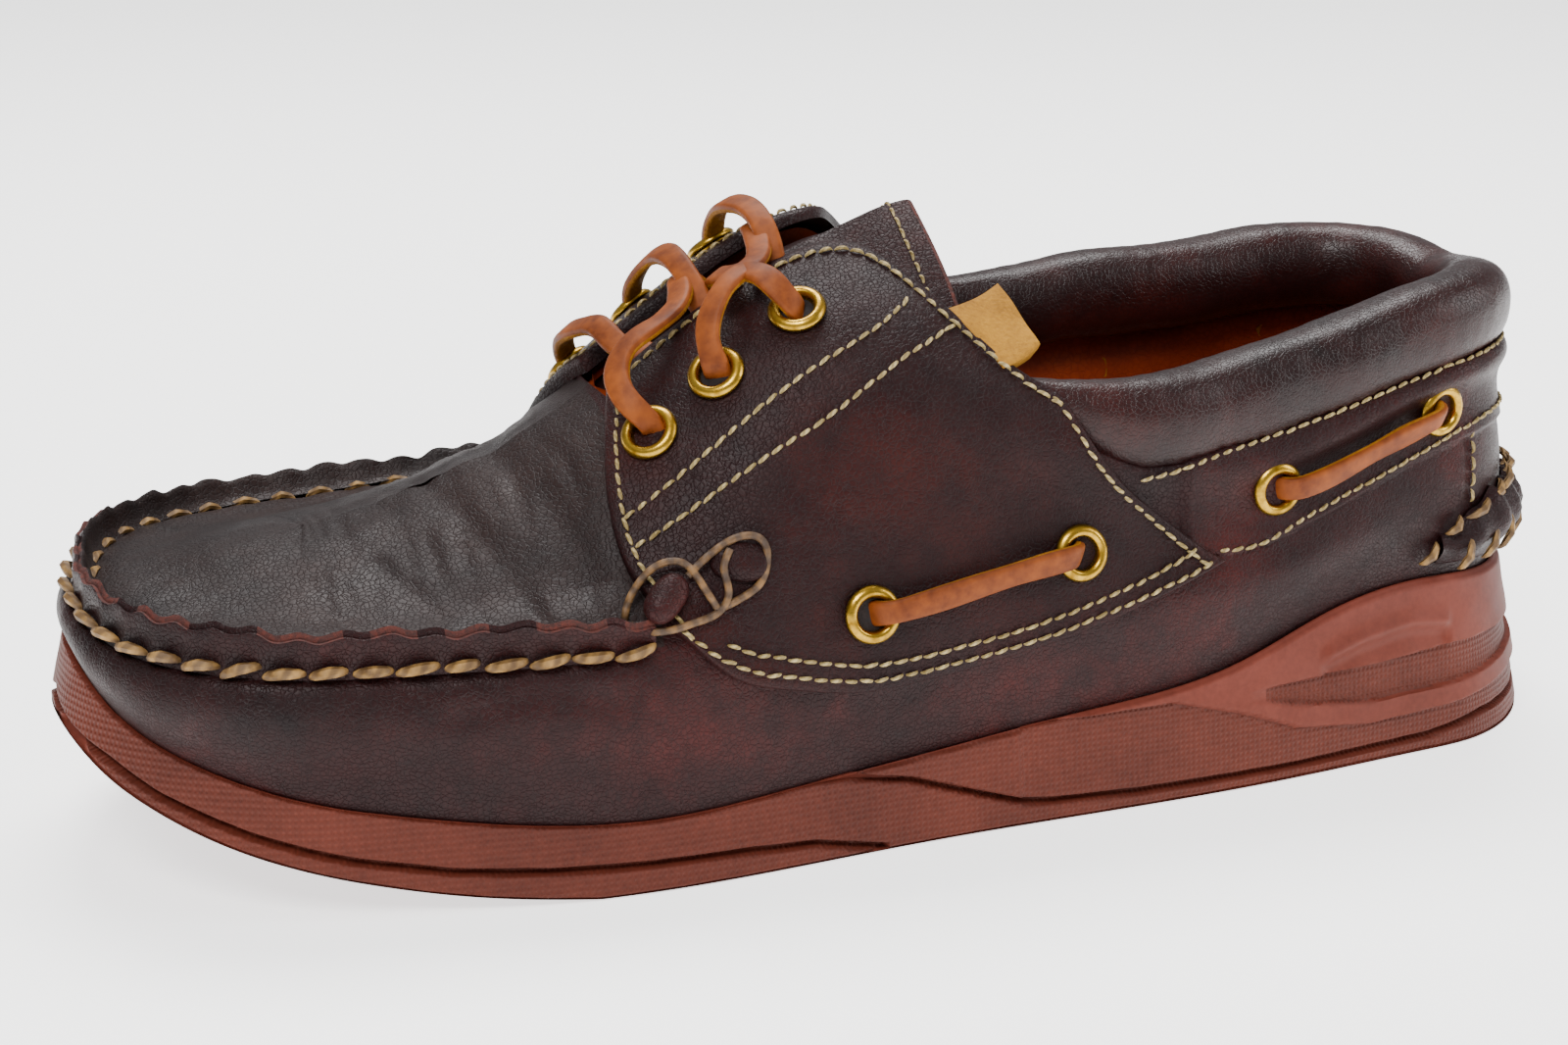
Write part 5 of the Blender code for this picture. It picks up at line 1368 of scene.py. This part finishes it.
def lace(name, rows, replaces=(), wide=LACE_WIDE, thick=LACE_THICK, roll=0.0, count=70):
    """Flat strand through rows of side, along, level and lift in mm."""
    table = np.array(rows, float)
    spots = np.array([on_last(r[1], int(r[0]), min(r[2], 1.0), r[3] * MM) for r in table])
    ups = np.array([last_normal(r[1], int(r[0]), min(r[2], 0.96)) for r in table])
    knots = np.r_[0, np.cumsum(np.linalg.norm(np.diff(spots, axis=0), axis=1))]
    want = np.linspace(0, knots[-1], count)
    weight = spline_weights(knots, want)
    centre = weight @ spots
    across, up = strand_frame(centre, weight @ ups)
    turn = np.linspace(0, 1, count) * roll
    c = np.cos(turn)[:, None]
    s = np.sin(turn)[:, None]
    across, up = across * c + up * s, up * c - across * s
    wobble = 1 + 0.06 * noise(centre, 9 * MM, len(name))
    print(name, "length in mm", round(knots[-1] / MM, 1))
    return tube(name, centre, across, up, wide * wobble, thick * wobble, [LACE_FACE, LACE_BACK],
                sides=16, power=4.0, replaces=replaces, slot="rawhide")


# Throat laces: rows of side, along, level and lift in mm, from the eyelet to the hidden end
L = LATERAL
M = MEDIAL
THROAT_LACES = {
    "lateral_1": [(L, 0.628, 0.784, -1.5), (L, 0.626, 0.790, 3.2), (L, 0.6295, 0.815, 6.6),
                  (L, 0.6294, 0.858, 8.2), (L, 0.6196, 0.891, 8.7), (L, 0.6056, 0.905, 7.6),
                  (L, 0.592, 0.94, 5.6), (M, 0.584, 0.985, 3.4), (M, 0.578, 0.95, -0.8),
                  (M, 0.575, 0.93, -3.5)],
    "lateral_2": [(L, 0.593, 0.809, -1.5), (L, 0.592, 0.812, 3.2), (L, 0.590, 0.838, 6.4),
                  (L, 0.5822, 0.868, 8.2), (L, 0.5716, 0.890, 8.8), (L, 0.562, 0.908, 7.6),
                  (L, 0.553, 0.945, 5.2), (M, 0.545, 0.985, 3.2), (M, 0.540, 0.95, -0.8),
                  (M, 0.537, 0.93, -3.5)],
    "lateral_3": [(L, 0.550, 0.848, -1.5), (L, 0.5505, 0.846, 3.2), (L, 0.5541, 0.857, 6.4),
                  (L, 0.5582, 0.880, 8.2), (L, 0.5640, 0.903, 7.8), (L, 0.570, 0.930, 5.6),
                  (L, 0.574, 0.965, 2.6), (L, 0.576, 0.975, -1.5), (L, 0.577, 0.975, -4.0)],
    "medial_1": [(M, 0.628, 0.784, -1.5), (M, 0.629, 0.800, 3.2), (M, 0.630, 0.85, 6.4),
                 (M, 0.6261, 0.94, 7.4), (M, 0.6225, 0.985, 6.6), (L, 0.6216, 0.972, 3.4),
                 (L, 0.614, 0.940, 0.4), (L, 0.611, 0.915, -2.2), (L, 0.610, 0.90, -3.5)],
    "medial_2": [(M, 0.593, 0.809, -1.5), (M, 0.593, 0.830, 3.2), (M, 0.589, 0.88, 6.6),
                 (M, 0.582, 0.94, 8.0), (M, 0.5815, 0.99, 7.0), (L, 0.584, 0.965, 3.6),
                 (L, 0.5858, 0.935, 0.4), (L, 0.587, 0.915, -2.2), (L, 0.588, 0.90, -3.5)],
    "medial_3": [(M, 0.550, 0.848, -1.5), (M, 0.550, 0.865, 3.2), (M, 0.548, 0.90, 6.8),
                 (M, 0.5468, 0.95, 8.4), (M, 0.5445, 0.99, 7.4), (L, 0.546, 0.965, 4.0),
                 (L, 0.5483, 0.945, 0.4), (L, 0.549, 0.925, -2.2), (L, 0.549, 0.91, -3.5)],
}


def throat_laces():
    for number, (name, rows) in enumerate(THROAT_LACES.items()):
        lace(f"throat_lace_{name}", rows, () if number else ("lace_front",))


# Lift in mm of a side lace between its two eyelets
BAR_LIFT = [(0.0, 0.0), (0.02, 2.8), (0.06, 5.0), (0.14, 5.6), (0.32, 5.3), (0.5, 5.0),
            (0.68, 5.2), (0.86, 5.6), (0.94, 5.0), (0.98, 2.8), (1.0, 0.0)]


def side_laces():
    for side, word in SIDES:
        for first, second in ((3, 4), (5, 6)):
            a = EYELETS[first]
            b = EYELETS[second]
            seat = 0.0 if a.on_panel else -1.8
            rows = []
            for share, lift in BAR_LIFT:
                along = a.along + (b.along - a.along) * share
                sag = 0.006 * math.sin(math.pi * share)
                level = a.level + (b.level - a.level) * share - sag
                rows.append((side, along, level, lift + seat))
            lace(f"side_lace_{word}_{a.name}", rows, (f"lace_{word}_{a.name}",), wide=4.4 * MM,
                 thick=2.0 * MM, roll=0.5, count=90)


throat_laces()
side_laces()

# %% [markdown]
# ## Sole
# A moulded rubber cup: a tread layer, a groove, a side wall with ribbed
# panels, and smooth rubber that sweeps up round the heel with a sunk wedge.

# %% Side wall of the cup
# Shares of the edge's height: border of the smooth rubber, foot and top of the sunk wedge
Side = namedtuple("Side", "along border wedge_low wedge_high")
SOLE_SIDE = [Side(0.0, 0.32, 0.44, 0.56), Side(0.10, 0.31, 0.42, 0.57),
             Side(0.17, 0.25, 0.36, 0.58), Side(0.23, 0.23, 0.35, 0.55),
             Side(0.28, 0.29, 0.42, 0.54), Side(0.315, 0.42, 0.50, 0.53),
             Side(0.36, 0.54, 0.55, 0.56), Side(0.42, 0.53, 0.54, 0.55),
             Side(0.47, 0.52, 0.53, 0.54), Side(0.55, 0.50, 0.51, 0.52)]
SMOOTH_END = 0.475
WEDGE_END = 0.31
# Lines along the wall: along, share of the edge's height
GROOVE = [(0.0, 0.18), (0.15, 0.14), (0.19, 0.09), (0.28, 0.078), (0.38, 0.09), (0.43, 0.11),
          (0.447, 0.13), (0.485, 0.25), (0.512, 0.34), (0.547, 0.405), (0.56, 0.41)]
FRONT_GROOVE = [(0.527, 0.02), (0.567, 0.105), (0.602, 0.128), (0.656, 0.142), (0.705, 0.164),
                (0.753, 0.206), (0.799, 0.294), (0.848, 0.422), (0.902, 0.583), (0.928, 0.678),
                (1.0, 0.86)]
STEP = [(0.447, 0.133), (0.485, 0.25), (0.513, 0.34), (0.547, 0.406)]
STEP_END = 0.56
SCOOP = [(0.175, 0.72), (0.203, 0.755), (0.235, 0.72), (0.262, 0.655)]
GROOVE_DEPTH = 2.0 * MM
GROOVE_HALF = 0.62 * MM
STEP_HIGH = 0.8 * MM
SCOOP_RIDGE = (1.0 * MM, 1.6 * MM)
SCOOP_HOLLOW = (0.9 * MM, 2.0 * MM)
SCOOP_GAP = 3.4 * MM
LIP_DEPTH = 0.9 * MM
FOOT_DEPTH = 0.6 * MM
BLUR = 0.2 * MM
WALL_LEVELS = 118


def wall_line(rows, along):
    """Height of a line on the wall, below zero where the line isn't drawn."""
    table = np.array(rows)
    height = np.interp(along, table[:, 0], table[:, 1], left=-1, right=-1)
    return height[:, None] * SOLE_EDGE


def above(z, line):
    return smooth(z, line - BLUR, line + BLUR)


def wall_points():
    along, side = loop_columns(LOOP_STATIONS)
    share = np.linspace(0, 1, WALL_LEVELS)
    radius = sole_radius(along, side)
    low_z = spring(distance_from_heel(along, radius))
    base = low_z + 0.4 * MM
    top = sole_edge(along, side)
    z = base[:, None] + (top - base)[:, None] * share[None]
    wide, both = grid_of(along, side, len(share))
    lean = np.clip((z - low_z[:, None]) / (top - low_z)[:, None], 0, 1)
    radius = sole_radius(wide, both, lean)
    table = np.array(SOLE_SIDE)
    border, low, high = (np.interp(along, table[:, 0], table[:, i])[:, None] * SOLE_EDGE
                         for i in (1, 2, 3))
    raised = above(z, border) * np.clip((SMOOTH_END - along) / 0.012, 0, 1)[:, None]
    wedge = np.clip(above(z, low) - above(z, high), 0, 1)
    wedge *= np.clip((WEDGE_END - along) / 0.02, 0, 1)[:, None]
    off = PANEL_STEP * (raised - 1) - 1.1 * PANEL_STEP * wedge
    groove = wall_line(GROOVE, along)
    front = wall_line(FRONT_GROOVE, along)
    for line in (groove, front):
        off = off - GROOVE_DEPTH * np.exp(-((z - line) / GROOVE_HALF) ** 4) * (line > 0)
    step = np.interp(along, *np.array(STEP).T)[:, None] * SOLE_EDGE
    inside = (along > STEP[0][0]) * np.clip((STEP_END - along) / 0.03, 0, 1)
    off = off + STEP_HIGH * above(z, step) * inside[:, None]
    scoop = wall_line(SCOOP, along)
    high, wide_by = SCOOP_RIDGE
    off = off + high * np.exp(-((z - scoop) / wide_by) ** 2) * (scoop > 0)
    deep, wide_by = SCOOP_HOLLOW
    off = off - deep * np.exp(-((z - scoop + SCOOP_GAP) / wide_by) ** 2) * (scoop > 0)
    off = off - LIP_DEPTH * smooth(share, 0.955, 1.0)[None] ** 2
    off = off - FOOT_DEPTH * (1 - smooth(share, 0.0, 0.03)[None])
    points = place(wide, both, radius + off, z)
    rough = 0.05 * MM * noise(points, 7 * MM, 12)
    points = points + last_normal(wide, both, np.full_like(wide, 0.12)) * rough[..., None]
    below = (groove > 0) & (z < groove) | (front > 0) & (z < front)
    ribbed = (wedge > 0.5) | (raised < 0.5) | below
    return along, side, z, points, ribbed, top


def cup():
    along, side, z, points, ribbed, top = wall_points()
    rows, columns = z.shape
    rim = np.stack([place(along, side, sole_radius(along, side, 1.0) - inset, top - drop)
                    for inset, drop in ((1.3 * MM, -0.1 * MM), (1.9 * MM, 0.6 * MM),
                                        (2.2 * MM, 3.5 * MM))], 1)
    inset = sole_radius(along, side) - 1.7 * MM
    under = place(along, side, inset, spring(distance_from_heel(along, inset)) + 0.25 * MM)
    points = np.concatenate([under[:, None], points, rim], 1)
    faces = grid_faces(rows, columns + 4, wrap_rows=True, flip=True)
    which = np.zeros((rows, columns + 3), int)
    which[:, 1:columns] = ribbed[:, :-1]
    uv = np.stack([np.repeat((along * SPAN)[:, None], columns + 4, 1),
                   np.concatenate([z[:, :1], z, np.repeat(top[:, None], 3, 1)], 1)], -1)
    make_mesh("sole_wall", points, faces, [PLAIN, RIBBED], ("midsole",), "terracotta_rubber", uv,
              which.ravel())


cup()


# %% Tread
LUG_DEPTH = 1.8 * MM
LUG_PITCH = 0.0175
LUG_GAP = 2.6 * MM
LUGS = (0.025, 0.247)
TREAD_RIM = 8 * MM
SHANK = (0.114, 0.156)


def tread():
    along, side = loop_columns(LOOP_STATIONS)
    share = np.concatenate([np.linspace(0, 0.93, 60), [0.955, 0.975, 0.99, 1.0]])
    radius = (sole_radius(along, side) - 1.2 * MM)[:, None] * share[None]
    wide, both = grid_of(along, side, len(share))
    distance = distance_from_heel(wide, radius)
    floor = spring(distance)
    phase = (distance - 0.03 + LUG_PITCH / 2) % LUG_PITCH - LUG_PITCH / 2
    cut = 1 - smooth(np.abs(phase), LUG_GAP / 2 - 0.3 * MM, LUG_GAP / 2 + 0.3 * MM)
    cut = cut * (distance > LUGS[0]) * (distance < LUGS[1])
    blur = 0.5 * MM
    shank = (smooth(distance, SHANK[0] - blur, SHANK[0] + blur)
             * (1 - smooth(distance, SHANK[1] - blur, SHANK[1] + blur)))
    rim = 1 - smooth(radius - (sole_radius(wide, both) - TREAD_RIM), -blur, blur)
    height = floor + LUG_DEPTH * np.maximum(cut, shank) * rim
    height = height + 0.3 * MM * (share[None] > 0.985)
    points = place(wide, both, radius, height)
    uv = np.stack([distance, radius], -1)
    faces = grid_faces(len(along), len(share), wrap_rows=True)
    make_mesh("sole_tread", points, faces, [RIBBED], ("outsole",), "terracotta_rubber", uv)


tread()


# %% Foot bed
BED_STATIONS = 160
BED_LEVELS = 30
BED_GAP = 2.0 * MM
BED_THICK = 4.5 * MM
BED_DISH = 2.0 * MM


def foot_bed():
    along, side = loop_columns(BED_STATIONS)
    share = np.linspace(0, 1, BED_LEVELS)
    edge = sole_radius(along, side, 0.6) - CUP_WALL - WALL - BED_GAP
    radius = edge[:, None] * share[None]
    wide, both = grid_of(along, side, len(share))
    height = bed(distance_from_heel(wide, radius)) + WALL + BED_THICK
    height = height + BED_DISH * share[None] ** 4
    points = place(wide, both, radius, height)
    faces = grid_faces(len(along), len(share), wrap_rows=True, flip=True)
    make_mesh("foot_bed", points, faces, [LINING], ("insole",), "tan_lining",
              np.stack([wide * SPAN, radius], -1))


foot_bed()

# %% [markdown]
# ## Set and camera
# A pale table and three large soft lights, with the camera where the
# photograph was taken: 17 degrees above the table, turned 20 degrees.

# %% Floor, lights and camera
TABLE_HALF = 6
FLOOR = Paint("pale_table", 0.6)
FLOOR.shader.inputs["Base Color"].default_value = linear("#f6f5f3")
FLOOR.shader.inputs["Emission Color"].default_value = linear("#ffffff")
FLOOR.shader.inputs["Emission Strength"].default_value = 1.6
mesh = bpy.data.meshes.new("table")
corners = [(x * TABLE_HALF, y * TABLE_HALF, 0) for x, y in ((-1, -1), (1, -1), (1, 1), (-1, 1))]
mesh.from_pydata(corners, [], [(0, 1, 2, 3)])
mesh.materials.append(FLOOR.material)
table_top = bpy.data.objects.new("table", mesh)
bpy.context.collection.objects.link(table_top)

world = bpy.data.worlds.new("studio")
world.use_nodes = True
world.node_tree.nodes["Background"].inputs["Color"].default_value = linear("#f7f8fa")
world.node_tree.nodes["Background"].inputs["Strength"].default_value = 0.45
bpy.context.scene.world = world


def soft_light(name, where, aim, size, power):
    lamp = bpy.data.lights.new(name, "AREA")
    lamp.shape = "RECTANGLE"
    lamp.size, lamp.size_y = size
    lamp.energy = power
    shape = bpy.data.objects.new(name, lamp)
    shape.location = where
    shape.rotation_euler = (Vector(aim) - Vector(where)).to_track_quat("-Z", "Y").to_euler()
    bpy.context.collection.objects.link(shape)


# Name, place, aim, size in metres and power in watts
LIGHTS = [("key", (-0.55, -0.75, 1.15), (0, 0, 0.03), (0.7, 0.5), 19),
          ("top", (0.15, 0.55, 1.25), (0, 0, 0.04), (0.9, 0.6), 26),
          ("side", (1.1, -0.5, 0.6), (0.05, 0, 0.05), (0.5, 0.7), 8)]
for light in LIGHTS:
    soft_light(*light)

# Solved from the shoe's outline in the photograph: place in metres, turns in degrees, lens in mm
CAMERA_AT = (-0.32631, -0.44446, 0.19339)
CAMERA_TILT = 17.0441
CAMERA_TURN = 20.1006
CAMERA_LENS = 59.77
camera = bpy.data.cameras.new("photo")
camera.sensor_width = 36
camera.lens = CAMERA_LENS
camera.clip_start = 0.01
view = bpy.data.objects.new("photo", camera)
view.location = Vector(CAMERA_AT) - Vector((MIDDLE[0], MIDDLE[1], 0))
view.rotation_euler = (math.radians(90 - CAMERA_TILT), 0, math.radians(-CAMERA_TURN))
bpy.context.collection.objects.link(view)
bpy.context.scene.camera = view
print("camera at", tuple(view.location))
